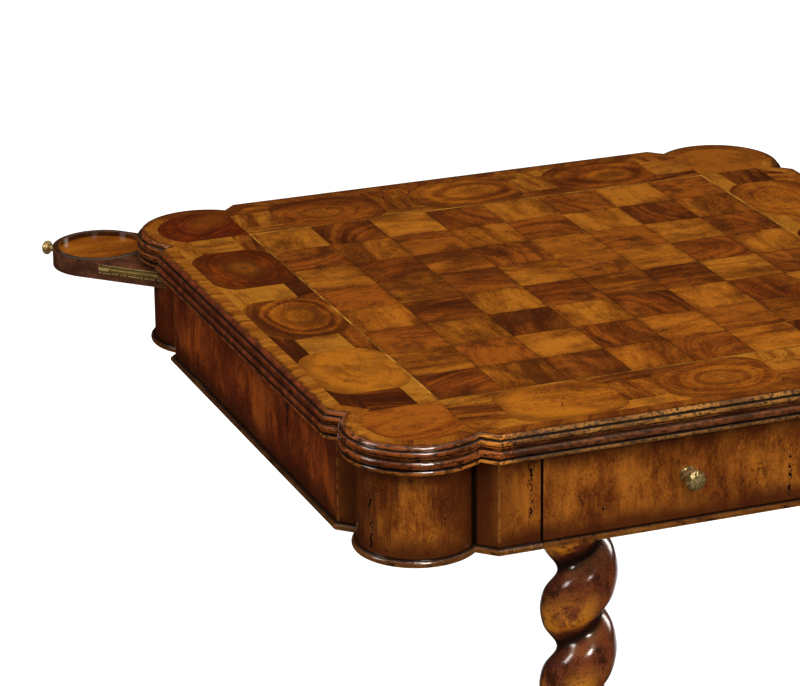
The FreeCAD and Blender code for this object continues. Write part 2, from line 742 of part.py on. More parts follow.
def make_border():
    inside = lobed_plate(top_form, crossband_reach - crossband_width, veneer_bottom, table_height)
    groups = border_side(inside)
    for name, pieces in zip(("border_oysters", "filler_blocks", "filler_wedges"), groups):
        add(name, [turned(piece, 90 * k) for k in range(4) for piece in pieces])
    reach = frieze_half + 40.0
    corner = inside.common(box(border_inner, reach, border_inner, reach, veneer_bottom, table_height))
    add("corner_roundels", [turned(corner, 90 * k) for k in range(4)])
    band = lobed_plate(top_form, crossband_reach, veneer_bottom, table_height).cut(inside)
    straights, corners = mitred(top_form, band, veneer_bottom, table_height)
    add("crossbanding", straights + corners)


# --- build --------------------------------------------------------------------------------------
make_base()
make_column()
make_carcass(make_cap())
make_top(make_fittings())
make_board()
make_border()
make_slide_guides()
for slide_name, slide_direction, pulled_out in slides:
    make_slide(slide_name, slide_direction, pulled_out)
make_drawer("front", 0)
make_drawer("back", 180)

os.makedirs("parts", exist_ok=True)
for node_name, node_shape in nodes.items():
    if not node_shape.isValid():
        print("not valid:", node_name)
    node_shape.exportStep(os.path.join("parts", node_name + ".step"))
print(len(nodes), "nodes")
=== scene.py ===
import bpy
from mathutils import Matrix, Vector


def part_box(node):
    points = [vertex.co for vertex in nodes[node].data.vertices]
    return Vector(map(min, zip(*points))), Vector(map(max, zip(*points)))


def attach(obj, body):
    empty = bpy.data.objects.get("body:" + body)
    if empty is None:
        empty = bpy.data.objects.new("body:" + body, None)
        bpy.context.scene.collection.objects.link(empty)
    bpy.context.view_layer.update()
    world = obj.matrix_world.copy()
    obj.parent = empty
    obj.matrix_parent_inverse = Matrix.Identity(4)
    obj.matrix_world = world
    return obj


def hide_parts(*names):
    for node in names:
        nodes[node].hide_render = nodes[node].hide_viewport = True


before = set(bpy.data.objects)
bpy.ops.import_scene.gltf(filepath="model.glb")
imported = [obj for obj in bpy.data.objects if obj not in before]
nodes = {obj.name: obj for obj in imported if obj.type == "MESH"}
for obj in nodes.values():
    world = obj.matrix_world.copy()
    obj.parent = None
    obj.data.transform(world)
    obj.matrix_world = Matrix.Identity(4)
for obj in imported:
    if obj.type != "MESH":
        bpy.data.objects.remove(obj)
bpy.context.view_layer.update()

import math
import random

import bpy
import numpy as np
from mathutils import Matrix, Vector


# ---- base: bun feet, lobed platform and plinth ----
# Turned and moulded walnut under a dark brown stain, rubbed through on the high parts and polished.
# The feet are dowelled and glued into the platform; a long bolt pulls the column down through both.


def fill(tree, socket, value):
    """Links another node's output to a socket, or sets the socket to a plain number or colour."""
    if isinstance(value, bpy.types.NodeSocket):
        tree.links.new(value, socket)
    else:
        socket.default_value = value


def node(tree, kind, inputs=None, **settings):
    """Adds a shader node, sets its properties, then fills its inputs by name or number."""
    made = tree.nodes.new("ShaderNode" + kind)
    for key, value in settings.items():
        setattr(made, key, value)
    for key, value in (inputs or {}).items():
        fill(tree, made.inputs[key], value)
    return made


def maths(tree, operation, a, b=0.0, clamp=False):
    return node(tree, "Math", {0: a, 1: b}, operation=operation, use_clamp=clamp).outputs[0]


def plus(tree, a, b):
    return maths(tree, "ADD", a, b)


def minus(tree, a, b):
    return maths(tree, "SUBTRACT", a, b)


def absolute(tree, value):
    return maths(tree, "ABSOLUTE", value)


def product(tree, mask, *others):
    for other in others:
        mask = maths(tree, "MULTIPLY", mask, other)
    return mask


def highest(tree, mask, *others):
    for other in others:
        mask = maths(tree, "MAXIMUM", mask, other)
    return mask


def total(tree, *values):
    """Sum of weighted masks, each given as (mask, weight)."""
    found = 0.0
    for mask, weight in values:
        found = plus(tree, found, product(tree, mask, weight))
    return found


def vector_maths(tree, operation, a, b=(0, 0, 0)):
    return node(tree, "VectorMath", {0: a, 1: b}, operation=operation).outputs


def shifted(tree, vector, offset):
    return vector_maths(tree, "ADD", vector, offset)["Vector"]


def stretched(tree, vector, factors):
    return vector_maths(tree, "MULTIPLY", vector, factors)["Vector"]


def length(tree, vector):
    return vector_maths(tree, "LENGTH", vector)["Value"]


def apart(tree, a, b):
    """Distance between two places."""
    return vector_maths(tree, "DISTANCE", a, b)["Value"]


def span(tree, value, low, high, start=0.0, end=1.0):
    """Goes smoothly from start to end while the value goes from low to high."""
    return node(tree, "MapRange", {0: value, 1: low, 2: high, 3: start, 4: end},
                interpolation_type="SMOOTHSTEP").outputs[0]


def mix(tree, factor, a, b, blend="MIX"):
    """Mixes two colours, given as sockets or as RGB."""
    a, b = [c if isinstance(c, bpy.types.NodeSocket) else (*c, 1.0) for c in (a, b)]
    return node(tree, "Mix", {0: factor, 6: a, 7: b}, data_type="RGBA", blend_type=blend).outputs[2]


def ramp(tree, factor, stops):
    """Colour ramp from (position, RGB) stops."""
    made = node(tree, "ValToRGB", {0: factor})
    elements = made.color_ramp.elements
    stops = list(stops)
    while len(elements) < len(stops):
        elements.new(0.5)
    for element, (position, colour) in zip(elements, stops):
        element.position = position
        element.color = (*colour, 1.0)
    return made.outputs[0]


def noise(tree, vector, scale, detail=3.0, roughness=0.5):
    """Noise of this many waves per metre, one number or one for each axis."""
    if isinstance(scale, tuple):
        vector, scale = stretched(tree, vector, scale), 1.0
    return node(tree, "TexNoise", {"Vector": vector, "Scale": scale, "Detail": detail,
                                             "Roughness": roughness}).outputs[0]


def sway(tree, vector, scale, sizes):
    """A random step, up to half of the sizes either way."""
    random_place = node(tree, "TexNoise", {"Vector": vector, "Scale": scale}).outputs[1]
    return stretched(tree, shifted(tree, random_place, (-0.5, -0.5, -0.5)), sizes)


def shake(tree, vector, scale, size):
    """Moves a place about at random, by up to half of the size along each axis."""
    return shifted(tree, vector, sway(tree, vector, scale, (size, size, size)))


def place(tree):
    """Where the point is on the table at rest, in metres."""
    return node(tree, "TexCoord").outputs["Object"]


def split(tree, vector):
    return node(tree, "SeparateXYZ", {0: vector}).outputs


def joined(tree, x, y, z):
    return node(tree, "CombineXYZ", {0: x, 1: y, 2: z}).outputs[0]


def facing(tree):
    """How far a surface faces up, from -1 to 1."""
    return split(tree, node(tree, "NewGeometry").outputs["Normal"])[2]


def along(tree, axis):
    """The place with its first number along the grain, for a grain that runs along this axis."""
    x, y, z = split(tree, place(tree))
    return joined(tree, *{"X": (x, y, z), "Y": (y, x, z), "Z": (z, x, y)}[axis])


def new_group(name, inputs, outputs):
    group = bpy.data.node_groups.new(name, "ShaderNodeTree")
    for direction, sockets in (("INPUT", inputs), ("OUTPUT", outputs)):
        for label, kind in sockets:
            group.interface.new_socket(name=label, in_out=direction, socket_type="NodeSocket" + kind)
    return group, group.nodes.new("NodeGroupInput").outputs, group.nodes.new("NodeGroupOutput").inputs


# Grain: soft streaks that wander, fine fibre and open pores, all drawn out along the first axis,
# and the clouds of tone that an old rubbed stain leaves in the wood.
# Each layer: its waves per metre along and across the grain, its detail, and the levels of noise
# between which it fades in.
GRAIN_LAYERS = {"Streak": ((7.0, 75.0, 75.0), 4.0, 0.3, 0.7),
                "Fibre": ((95.0, 620.0, 620.0), 3.0, 0.28, 0.72),
                "Pores": ((190.0, 1100.0, 1100.0), 1.0, 0.63, 0.70),
                "Cloud": ((13.0, 20.0, 20.0), 8.0, 0.34, 0.66),
                "Speckle": ((330.0, 430.0, 430.0), 3.0, 0.3, 0.7)}
BEND = 0.04     # metres by which streaks wander sideways
grain_group, entry, result = new_group("grain", [("Place", "Vector"), ("Seed", "Float")],
                                       [(label, "Float") for label in GRAIN_LAYERS])
own_seed = joined(grain_group, entry["Seed"], product(grain_group, entry["Seed"], 1.7), 0.0)
own_place = shifted(grain_group, entry["Place"], own_seed)
wander = noise(grain_group, own_place, (7.0, 16.0, 16.0), 2.0)
wander = product(grain_group, wander, BEND)
bent = shifted(grain_group, own_place, joined(grain_group, 0.0, wander, wander))
for label, (waves, detail, low, high) in GRAIN_LAYERS.items():
    layer = noise(grain_group, bent, waves, detail, 0.62)
    fill(grain_group, result[label], span(grain_group, layer, low, high))


def dots(tree, vector, scale, chosen, size):
    """Round spots with soft rims: one in each Voronoi cell whose random number is under the chosen share."""
    cells = node(tree, "TexVoronoi", {"Vector": vector, "Scale": scale}).outputs
    kept = maths(tree, "LESS_THAN", split(tree, cells["Color"])[0], chosen)
    return product(tree, kept, span(tree, cells["Distance"], size, size * 0.45))


# Distress: worm holes and dashes, thin checks like hairs, and small flecks of dark stain.
distress_group, entry, result = new_group("distress", [("Place", "Vector"), ("Amount", "Float")],
                                          [("Marks", "Float"), ("Flecks", "Float"), ("Hairs", "Float")])
shaken = shake(distress_group, entry["Place"], 260.0, 0.006)
upright = stretched(distress_group, shaken, (1.0, 1.0, 0.55))
dashed = stretched(distress_group, shaken, (2.4, 1.7, 0.6))
worm_share = product(distress_group, entry["Amount"], 0.17)
fleck_share = product(distress_group, entry["Amount"], 0.5)
worms = dots(distress_group, shaken, 75.0, worm_share, 0.12)
dashes = dots(distress_group, dashed, 85.0, worm_share, 0.17)
flecks = dots(distress_group, upright, 330.0, fleck_share, 0.28)
curve = absolute(distress_group, minus(distress_group, noise(distress_group, upright, 46.0, 3.0, 0.4), 0.5))
rare = maths(distress_group, "GREATER_THAN", noise(distress_group, entry["Place"], 33.0, 2.0), 0.57)
hairs = product(distress_group, span(distress_group, curve, 0.0075, 0.002), rare)
fill(distress_group, result["Marks"], highest(distress_group, worms, dashes))
fill(distress_group, result["Flecks"], flecks)
fill(distress_group, result["Hairs"], hairs)


def group_outputs(tree, group, inputs):
    return node(tree, "Group", inputs, node_tree=group).outputs


def new_material(name):
    """An empty material with its Principled shader, to which a section adds its own nodes."""
    material = bpy.data.materials.new(name)
    material.use_nodes = True
    tree = material.node_tree
    tree.nodes.clear()
    shader = tree.nodes.new("ShaderNodeBsdfPrincipled")
    output = tree.nodes.new("ShaderNodeOutputMaterial")
    tree.links.new(shader.outputs[0], output.inputs[0])
    return material, tree, shader


POLISH_TINT = (1.0, 0.8, 0.62, 1.0)
STAIN = (0.012, 0.0045, 0.0018)


def relief(tree, shader, height, depth, strength=1.0):
    bump = node(tree, "Bump", {"Strength": strength, "Distance": depth, "Height": height})
    fill(tree, shader.inputs["Normal"], bump.outputs[0])


def polish(tree, shader, colour, height, depth=0.0003, roughness=0.16, level=0.4, wax=0.0, haze=0.06):
    """Brown shellac polish over a colour: warm and glossy, with the relief of what is under it. Wax is
    a clear film on parts that are often rubbed, and haze is its roughness."""
    for name, value in (("Base Color", colour), ("Roughness", roughness), ("Specular IOR Level", level),
                        ("Specular Tint", POLISH_TINT), ("Coat Weight", wax), ("Coat Roughness", haze)):
        fill(tree, shader.inputs[name], value)
    relief(tree, shader, height, depth)


def wood(tree, vector, colours, amount=0.6, streaky=0.2):
    """Colour and relief of stained wood: (dark, middle, light) by cloud and grain, with the marks of age."""
    grain = group_outputs(tree, grain_group, {"Place": vector})
    wear = group_outputs(tree, distress_group, {"Place": place(tree), "Amount": amount})
    tone = total(tree, (grain["Streak"], streaky), (grain["Cloud"], 0.7 - streaky), (grain["Fibre"], 0.14),
                 (grain["Speckle"], 0.16))
    colour = ramp(tree, tone, zip((0.26, 0.5, 0.76), colours))
    fine = highest(tree, product(tree, grain["Pores"], 0.3), product(tree, wear["Flecks"], 0.5),
                   product(tree, wear["Hairs"], 0.7, min(1.0, amount * 1.5)))
    colour = mix(tree, highest(tree, wear["Marks"], fine), colour, STAIN)
    sunk = highest(tree, wear["Marks"], product(tree, fine, 0.4))
    return colour, minus(tree, product(tree, grain["Fibre"], 0.06), sunk)


def timber(name, colours, axis, amount=0.6, streaky=0.2, **finish):
    """Material of a piece whose grain runs along one axis, with a finish as polish takes it."""
    material, tree, shader = new_material(name)
    colour, height = wood(tree, along(tree, axis), colours, amount, streaky)
    polish(tree, shader, colour, height, **finish)
    return material


def dress(names, material):
    """Gives CAD nodes their finish."""
    for name in names.split():
        mesh = nodes[name].data
        mesh.materials.clear()
        mesh.materials.append(material)


WALNUT = ((0.045, 0.011, 0.0025), (0.105, 0.029, 0.0045), (0.20, 0.062, 0.008))

dress("bun_feet column_plinth column_cap_block", timber("walnut_turned", WALNUT, "Z"))
dress("base_platform", timber("walnut_flat", WALNUT, "X", streaky=0.42))


def metal(tree, shader, colour, roughness, bare):
    """Bare is 1 for clean metal, and less where tarnish covers it."""
    for name, value in (("Base Color", colour), ("Roughness", roughness), ("Metallic", bare)):
        fill(tree, shader.inputs[name], value)


DULL_STEEL = (0.3, 0.3, 0.29)
BRIGHT_STEEL = (0.5, 0.5, 0.49)
steel, tree, shader = new_material("steel")
scratches = noise(tree, place(tree), (300.0, 900.0, 900.0), 4.0)
colour = ramp(tree, scratches, [(0.3, DULL_STEEL), (0.7, BRIGHT_STEEL)])
metal(tree, shader, colour, span(tree, scratches, 0.3, 0.7, 0.25, 0.5), 1.0)
dress("column_bolt cap_screws cleat_screws", steel)

RAW = {"amount": 0.1, "streaky": 0.45, "depth": 0.0002, "roughness": 0.65}


def bare_wood(name, colours, axis):
    """Unpolished timber of the parts that don't show."""
    return timber(name, colours, axis, **RAW)


POPLAR = ((0.24, 0.16, 0.07), (0.36, 0.25, 0.12), (0.46, 0.33, 0.18))
poplar = bare_wood("poplar", POPLAR, "X")
dress("foot_dowels", bare_wood("poplar_upright", POPLAR, "Z"))


# ---- twisted column ----
# One strand of walnut turned and carved to a right-handed twist, tenoned into plinth and cap block.
# The valley is painted nearly black as shade; the swell is rubbed to gold below, with worm holes and checks.

# distances from the axis: the floor of the valley, where its black ends, and where the swell starts
# and is full
VALLEY_FLOOR = 0.0218
VALLEY_EDGE = 0.028
SWELL_START = 0.026
SWELL_FULL = 0.035
COLUMN = ((0.075, 0.014, 0.006), (0.16, 0.034, 0.011), (0.26, 0.060, 0.014))
COLUMN_GOLD = (0.62, 0.215, 0.012)
COLUMN_SMOKE = (0.035, 0.009, 0.003)
COLUMN_HATCHING = (0.045, 0.011, 0.003)
COLUMN_VALLEY_SHADE = (0.016, 0.0045, 0.0018)

column_wood, tree, shader = new_material("column_wood")
x, y, z = split(tree, place(tree))
radius = length(tree, joined(tree, x, y, 0.0))
colour, height = wood(tree, along(tree, "Z"), COLUMN)
low_side = product(tree, span(tree, facing(tree), 0.35, -0.25), span(tree, radius, SWELL_START, SWELL_FULL))
# hands reach the column from two sides
reached = absolute(tree, maths(tree, "DIVIDE", total(tree, (x, 0.75), (y, 0.66)), radius))
cloud = noise(tree, place(tree), 30.0, 7.0, 0.66)
gold = product(tree, low_side, span(tree, cloud, 0.38, 0.52), span(tree, reached, 0.45, 0.85, 0.1, 1.0))
colour = mix(tree, gold, colour, COLUMN_GOLD)
smoke = span(tree, noise(tree, place(tree), 34.0, 6.0, 0.66), 0.54, 0.63, 0.0, 0.8)
colour = mix(tree, smoke, colour, COLUMN_SMOKE)
hatching = noise(tree, place(tree), (260.0, 260.0, 420.0), 4.0, 0.7)
hatching = product(tree, span(tree, hatching, 0.53, 0.62), span(tree, radius, VALLEY_EDGE, 0.034), 0.6)
colour = mix(tree, hatching, colour, COLUMN_HATCHING)
# painted shade: the valley goes nearly black
colour = mix(tree, span(tree, radius, VALLEY_EDGE, VALLEY_FLOOR), colour, COLUMN_VALLEY_SHADE)
polish(tree, shader, colour, height, 0.00015, roughness=0.24, level=0.8, wax=1.0, haze=0.09)
dress("twisted_column", column_wood)


# ---- carcass: frieze rails, corner posts, bead and bottom board ----
# Rails and rounded corner posts are veneered with upright walnut, mitred together on the hidden board.
# Painted shade darkens the frieze under the moulding and in the hollows by the lobes; its bottom is darker
# too.

FRIEZE_HALF = 0.3433
FRIEZE_BOTTOM = 0.652
FRIEZE_TOP = 0.734
LOBE = 0.290                    # from the axis of the table to the centre of a lobe, along both sides
LOBE_RADIUS = 0.0533
NEAR_LOBE = 0.018               # a point that stands out no further than this is on the lobe
SHOULDER_SETBACK = 0.0027
SHOULDER_END = 0.098            # across, where a shoulder meets the straight side
SHOULDER_DEPTH = 0.030
HOLLOW = (-SHOULDER_SETBACK, 0.0532, 0.0)       # outwards and across, from the centre of the lobe
ARRIS = (-SHOULDER_SETBACK, 0.0781, 0.0)
DRAWER_OFFSET = 0.05            # the middle of a drawer, beside the middle of its side
DRAWER_SEAM = 0.142             # the seams beside a drawer, from its middle
GOLDEN = ((0.066, 0.0142, 0.0025), (0.146, 0.0385, 0.005), (0.26, 0.081, 0.0085))
RUSSET = ((0.075, 0.012, 0.0030), (0.165, 0.030, 0.0050), (0.27, 0.060, 0.0075))
# black painted shade for the quirks, the hollows beside the lobes and the foot of the moulding
CREVICE_SHADE = (0.006, 0.0025, 0.0012)
HOLE = (0.004, 0.002, 0.001)
# stain, and painted shade under the moulding and in the hollows beside the lobes
FRIEZE_STAIN_AND_SHADE = (0.040, 0.0080, 0.0024)
RUBBED_ARRIS = (0.30, 0.115, 0.02)
KNOT_SHADOW = (0.03, 0.0075, 0.0022)


def from_lobe(tree):
    """Place relative to the nearest lobe: outwards along its diagonal, and across it."""
    x, y, z = split(tree, place(tree))
    x, y = absolute(tree, x), absolute(tree, y)
    half_root = math.sqrt(0.5)
    outwards = minus(tree, product(tree, plus(tree, x, y), half_root), LOBE / half_root)
    return outwards, product(tree, minus(tree, x, y), half_root)


def worm_tracks(tree, tracks):
    """Broken strings of worm holes that climb the veneer, each given by its x, y, and lower and upper end."""
    x, y, z = split(tree, place(tree))
    up = joined(tree, 0.0, 0.0, z)
    swayed = shifted(tree, joined(tree, x, y, 0.0), sway(tree, up, 150.0, (0.009, 0.009, 0.0)))
    width = span(tree, noise(tree, place(tree), 430.0, 1.0), 0.38, 0.60, -0.0004, 0.0018)
    eaten = dots(tree, shake(tree, place(tree), 400.0, 0.002), 520.0, 0.7, 0.46)
    band = span(tree, noise(tree, up, 70.0, 2.0), 0.38, 0.62, 0.0004, 0.0042)
    fade = 0.003
    found = []
    for track_x, track_y, low, high in tracks:
        distance = apart(tree, swayed, (track_x, track_y, 0.0))
        line = span(tree, minus(tree, distance, width), 0.0003, -0.0002)
        cluster = product(tree, eaten, maths(tree, "LESS_THAN", distance, band))
        found.append(product(tree, highest(tree, line, cluster),
                             span(tree, z, low, low + fade), span(tree, z, high, high - fade)))
    return highest(tree, *found)


def frieze_stain_and_shade(tree, hollow):
    """Painted shade at the top and by the hollows; darker at the bottom and lobe flanks; stain in drips and
    in one sheet.
    """
    z = split(tree, shake(tree, place(tree), 34.0, 0.026))[2]
    # painted shade under the moulding at the top, and darker towards the bottom
    shaded_top_dark_bottom = highest(tree, span(tree, z, FRIEZE_TOP - 0.028, FRIEZE_TOP - 0.002, 0.0, 0.65),
                     span(tree, z, FRIEZE_BOTTOM + 0.028, FRIEZE_BOTTOM + 0.002, 0.0, 0.9))
    outwards, across = from_lobe(tree)
    on_lobe = span(tree, outwards, 0.0, 0.004)
    # the veneer of a lobe is in two sheets, of which one took more stain
    sheet = product(tree, span(tree, across, -0.0072, -0.0064), on_lobe, 0.35)
    swayed = plus(tree, across, product(tree, noise(tree, place(tree), 40.0, 4.0, 0.6), 0.02))
    # both flanks of each lobe are darker
    side = product(tree, span(tree, swayed, 0.024, 0.044), on_lobe, 0.6)
    drips = noise(tree, place(tree), (120.0, 120.0, 9.0), 3.0, 0.6)
    drips = product(tree, span(tree, drips, 0.52, 0.66), span(tree, outwards, -0.02, 0.02, 0.28, 0.75))
    # painted shade deepens towards the hollows beside the lobes
    return highest(tree, shaded_top_dark_bottom, drips, sheet, side, span(tree, hollow, 0.056, 0.007, 0.0, 0.93))


def drawer_seams(tree):
    """Dirt in the seams on both sides of a drawer."""
    x, y, z = split(tree, place(tree))
    from_middle = minus(tree, x, product(tree, maths(tree, "SIGN", y), DRAWER_OFFSET))
    from_seam = absolute(tree, minus(tree, absolute(tree, from_middle), DRAWER_SEAM))
    on_drawer_side = span(tree, absolute(tree, y), 0.335, 0.340)
    return product(tree, span(tree, from_seam, 0.0017, 0.0010), on_drawer_side)


def frieze_wood(tree, colours, tracks, knots=()):
    """Colour and relief of the frieze's upright veneer, eaten along the tracks, with a hole at each knot."""
    colour, height = wood(tree, along(tree, "Z"), colours, amount=1.0, streaky=0.17)
    outwards, across = from_lobe(tree)
    spot = joined(tree, outwards, absolute(tree, across), 0.0)
    hollow = apart(tree, spot, HOLLOW)
    uneven = span(tree, noise(tree, place(tree), 90.0), 0.42, 0.55)
    rubbed = product(tree, span(tree, apart(tree, spot, ARRIS), 0.0018, 0.0007), uneven, 0.35)
    # stain and painted shade, black painted shade in the hollows, a rubbed arris, and dirt in the drawer
    # seams
    for mask, tint in ((frieze_stain_and_shade(tree, hollow), FRIEZE_STAIN_AND_SHADE),
                       (span(tree, hollow, 0.0055, 0.0025), CREVICE_SHADE),
                       (rubbed, RUBBED_ARRIS), (drawer_seams(tree), HOLE)):
        colour = mix(tree, mask, colour, tint)
    holes = worm_tracks(tree, tracks)
    for knot in knots:
        distance = apart(tree, shake(tree, place(tree), 200.0, 0.006), knot)
        holes = highest(tree, holes, span(tree, distance, 0.0042, 0.0026))
        colour = mix(tree, span(tree, distance, 0.012, 0.003, 0.0, 0.6), colour, KNOT_SHADOW)
    return mix(tree, holes, colour, HOLE), minus(tree, height, product(tree, holes, 2.0))


def frieze_polish(tree, shader, colour, height):
    polish(tree, shader, colour, height, 0.0004, level=0.35)


FRONT_TRACKS = [(-0.2026, -FRIEZE_HALF, 0.674, 0.733), (-0.3402, -0.3075, 0.654, 0.716),
                (0.318, -0.335, 0.662, 0.700), (0.212, -FRIEZE_HALF, 0.656, 0.688),
                (0.18, FRIEZE_HALF, 0.690, 0.732)]
SIDE_TRACKS = [(-FRIEZE_HALF, -0.1025, 0.672, 0.718), (FRIEZE_HALF, 0.085, 0.660, 0.705),
               (0.336, 0.316, 0.668, 0.722), (-FRIEZE_HALF, 0.16, 0.655, 0.680)]
SIDE_KNOTS = [(-FRIEZE_HALF, -0.1035, 0.7195), (FRIEZE_HALF, -0.14, 0.700)]

golden_veneer, tree, shader = new_material("golden_veneer")
frieze_polish(tree, shader, *frieze_wood(tree, GOLDEN, FRONT_TRACKS))
dress("front_rail_left front_rail_right back_rail_left back_rail_right", golden_veneer)
dress("corner_post_front_left corner_post_front_right", golden_veneer)

russet_veneer, tree, shader = new_material("russet_veneer")
frieze_polish(tree, shader, *frieze_wood(tree, RUSSET, SIDE_TRACKS, SIDE_KNOTS))
dress("left_rail right_rail corner_post_back_left corner_post_back_right", russet_veneer)
dress("bottom_board centre_bearer", poplar)


def run_round(x, y):
    """Distance of a point round the lobed outline, and how far it stands out from the frieze."""
    sx, sy = math.copysign(1.0, x), math.copysign(1.0, y)
    outwards = (abs(x) + abs(y) - 2 * LOBE) / math.sqrt(2)
    across = (abs(x) - abs(y)) / math.sqrt(2)
    quarter = math.atan2(sy, sx) / (math.pi / 2)
    from_centre = math.hypot(outwards, across)
    if outwards > -0.004 and from_centre < LOBE_RADIUS + NEAR_LOBE:
        angle = math.atan2(across, max(outwards, 0.0))
        return quarter - angle * LOBE_RADIUS * sx * sy, from_centre - LOBE_RADIUS
    if abs(across) < SHOULDER_END and outwards > -SHOULDER_DEPTH:
        return quarter - across * sx * sy, outwards + SHOULDER_SETBACK
    if abs(x) > abs(y):
        return y * sx, abs(x) - FRIEZE_HALF
    return 2.0 - x * sy, abs(y) - FRIEZE_HALF


def add(name, data):
    """A new object in the scene."""
    made = bpy.data.objects.new(name, data)
    bpy.context.scene.collection.objects.link(made)
    return made


def show_instead(name, mesh, material):
    """The table shows this mesh in place of a CAD node."""
    mesh.name = name + "_shown"
    mesh.materials.clear()
    mesh.materials.append(material)
    shown = add(name + "_shown", mesh)
    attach(shown, "table")
    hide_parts(name)


def remember(mesh, label, values):
    """Keeps three numbers for each vertex, for the material to read."""
    layer = mesh.attributes.new(label, "FLOAT_VECTOR", "POINT")
    layer.data.foreach_set("vector", np.array(values, dtype=np.float32).ravel())


def recall(tree, label):
    return node(tree, "Attribute", attribute_name=label).outputs["Vector"]


def follow_outline(name, material):
    """A copy of a node's mesh, whose vertices know their run round the outline, reach and height."""
    mesh = nodes[name].data.copy()
    remember(mesh, "run", [(*run_round(point.co.x, point.co.y), point.co.z) for point in mesh.vertices])
    show_instead(name, mesh, material)


def seated_sides(tree):
    """1 on the two sides with drawers, where hands rub the finish, and 0 on the two others and the lobes."""
    x, y, z = split(tree, place(tree))
    x, y = absolute(tree, x), absolute(tree, y)
    return product(tree, span(tree, minus(tree, y, x), 0.0, 0.03), span(tree, x, 0.262, 0.245))


BEAD = ((0.07, 0.019, 0.003), (0.15, 0.048, 0.006), (0.26, 0.10, 0.014))
BEAD_STAIN = (0.045, 0.012, 0.003)
BEAD_PITS = (0.02, 0.006, 0.002)
BEAD_RIM = (0.24, 0.09, 0.012)


def bead_finish(tree, vector):
    """Colour and relief of the bead: rubbed to gold, with black pits, and darker off the drawer sides."""
    colour, height = wood(tree, vector, BEAD, amount=0.9)
    worn = noise(tree, place(tree), (110.0, 110.0, 200.0), 4.0, 0.65)
    z = split(tree, place(tree))[2]
    low_rim = product(tree, span(tree, z, FRIEZE_BOTTOM - 0.0045, FRIEZE_BOTTOM - 0.0062),
                      span(tree, worn, 0.56, 0.46), 0.8)
    # painted shade: black in the quirk where the bead meets the frieze
    quirk = span(tree, z, FRIEZE_BOTTOM - 0.0026, FRIEZE_BOTTOM - 0.0006)
    for mask, tint in ((span(tree, seated_sides(tree), 0.0, 1.0, 0.62, 0.4), BEAD_STAIN),
                       (span(tree, worn, 0.54, 0.66), BEAD_PITS), (low_rim, BEAD_RIM), (quirk, CREVICE_SHADE)):
        colour = mix(tree, mask, colour, tint)
    return colour, plus(tree, height, worn)


bead_wood, tree, shader = new_material("bead_wood")
colour, height = bead_finish(tree, recall(tree, "run"))
underside = wood(tree, along(tree, "X"), WALNUT)[0]
colour = mix(tree, span(tree, facing(tree), -0.93, -0.98), colour, underside)
polish(tree, shader, colour, height, 0.0006, roughness=0.25, level=0.45, wax=0.8)
follow_outline("bottom_bead", bead_wood)


# ---- fittings inside the carcass ----
# Rails and cleats of poplar under the top with steel screws; beech guides and stops for drawers and
# slides, with brass pins that run in the channels of the slides. All is glued or screwed, unpolished.

BEECH = ((0.33, 0.20, 0.10), (0.45, 0.29, 0.155), (0.54, 0.37, 0.21))
dress("top_rails", poplar)
dress("top_cleats", bare_wood("poplar_lengthwise", POPLAR, "Y"))
dress("drawer_guides drawer_stops slide_guides", bare_wood("beech", BEECH, "Y"))

CHANNEL_MIDDLE = 0.7219
CHANNEL_EDGE = (0.0034, 0.0041)     # up and down from its middle
GROOVE_EDGE = (0.0021, 0.0015)
KNOB_NECK = (0.0112, 0.0128)        # out from the drawer's front
KNOB_HEAD = (0.0160, 0.0152)
BRASS = [(0.3, (0.20, 0.115, 0.03)), (0.48, (0.46, 0.31, 0.105)), (0.7, (0.74, 0.55, 0.24))]
DIRTY_BRASS = [(0.35, (0.06, 0.035, 0.010)), (0.6, (0.26, 0.17, 0.05))]
# painted highlight in a channel's groove, and on its worn edges
BRIGHT_BRASS = (0.74, 0.53, 0.19)
BLOW_RIM = (0.10, 0.06, 0.02)
KNOB_NECK_SHADE = (0.018, 0.010, 0.004)


def aged_brass(name, blows=0.0, grooved=False):
    """Brass gone brown in patches. Blows of a hammer, so many to a metre, leave a knob dimpled, with
    painted shade in its neck; a channel has a painted highlight in its groove and brighter, worn and lit
    edges."""
    material, tree, shader = new_material(name)
    x, y, z = split(tree, place(tree))
    patches = noise(tree, place(tree), 300.0, 4.0, 0.6)
    fine = noise(tree, place(tree), (700.0, 700.0, 2500.0), 2.0)
    colour = ramp(tree, patches, BRASS)
    height = patches
    if grooved:
        off_middle = absolute(tree, minus(tree, z, CHANNEL_MIDDLE))
        # painted highlight in the groove; bright patches along the edges, partly wear and partly painted
        # highlight
        worn_and_lit_edge = product(tree, span(tree, off_middle, *CHANNEL_EDGE), span(tree, patches, 0.38, 0.5))
        bright = highest(tree, worn_and_lit_edge, span(tree, off_middle, *GROOVE_EDGE))
        colour = mix(tree, bright, ramp(tree, patches, DIRTY_BRASS), BRIGHT_BRASS)
    if blows:
        dimples = node(tree, "TexVoronoi", {"Vector": place(tree), "Scale": blows})
        rims = span(tree, dimples.outputs["Distance"], 0.35, 0.75)
        colour = mix(tree, product(tree, rims, 0.6), colour, BLOW_RIM)
        # painted shade in the neck of a drawer's knob, between collar and head
        stem = minus(tree, absolute(tree, y), FRIEZE_HALF)
        neck = product(tree, span(tree, stem, *KNOB_NECK), span(tree, stem, *KNOB_HEAD), 0.9)
        colour = mix(tree, neck, colour, KNOB_NECK_SHADE)
        height = minus(tree, product(tree, patches, 0.3), rims)
    metal(tree, shader, colour, span(tree, fine, 0.3, 0.7, 0.26, 0.44), 0.75)
    relief(tree, shader, height, 0.0005, 0.7)
    return material


brass = aged_brass("aged_brass")
dress("slide_guide_pins", brass)


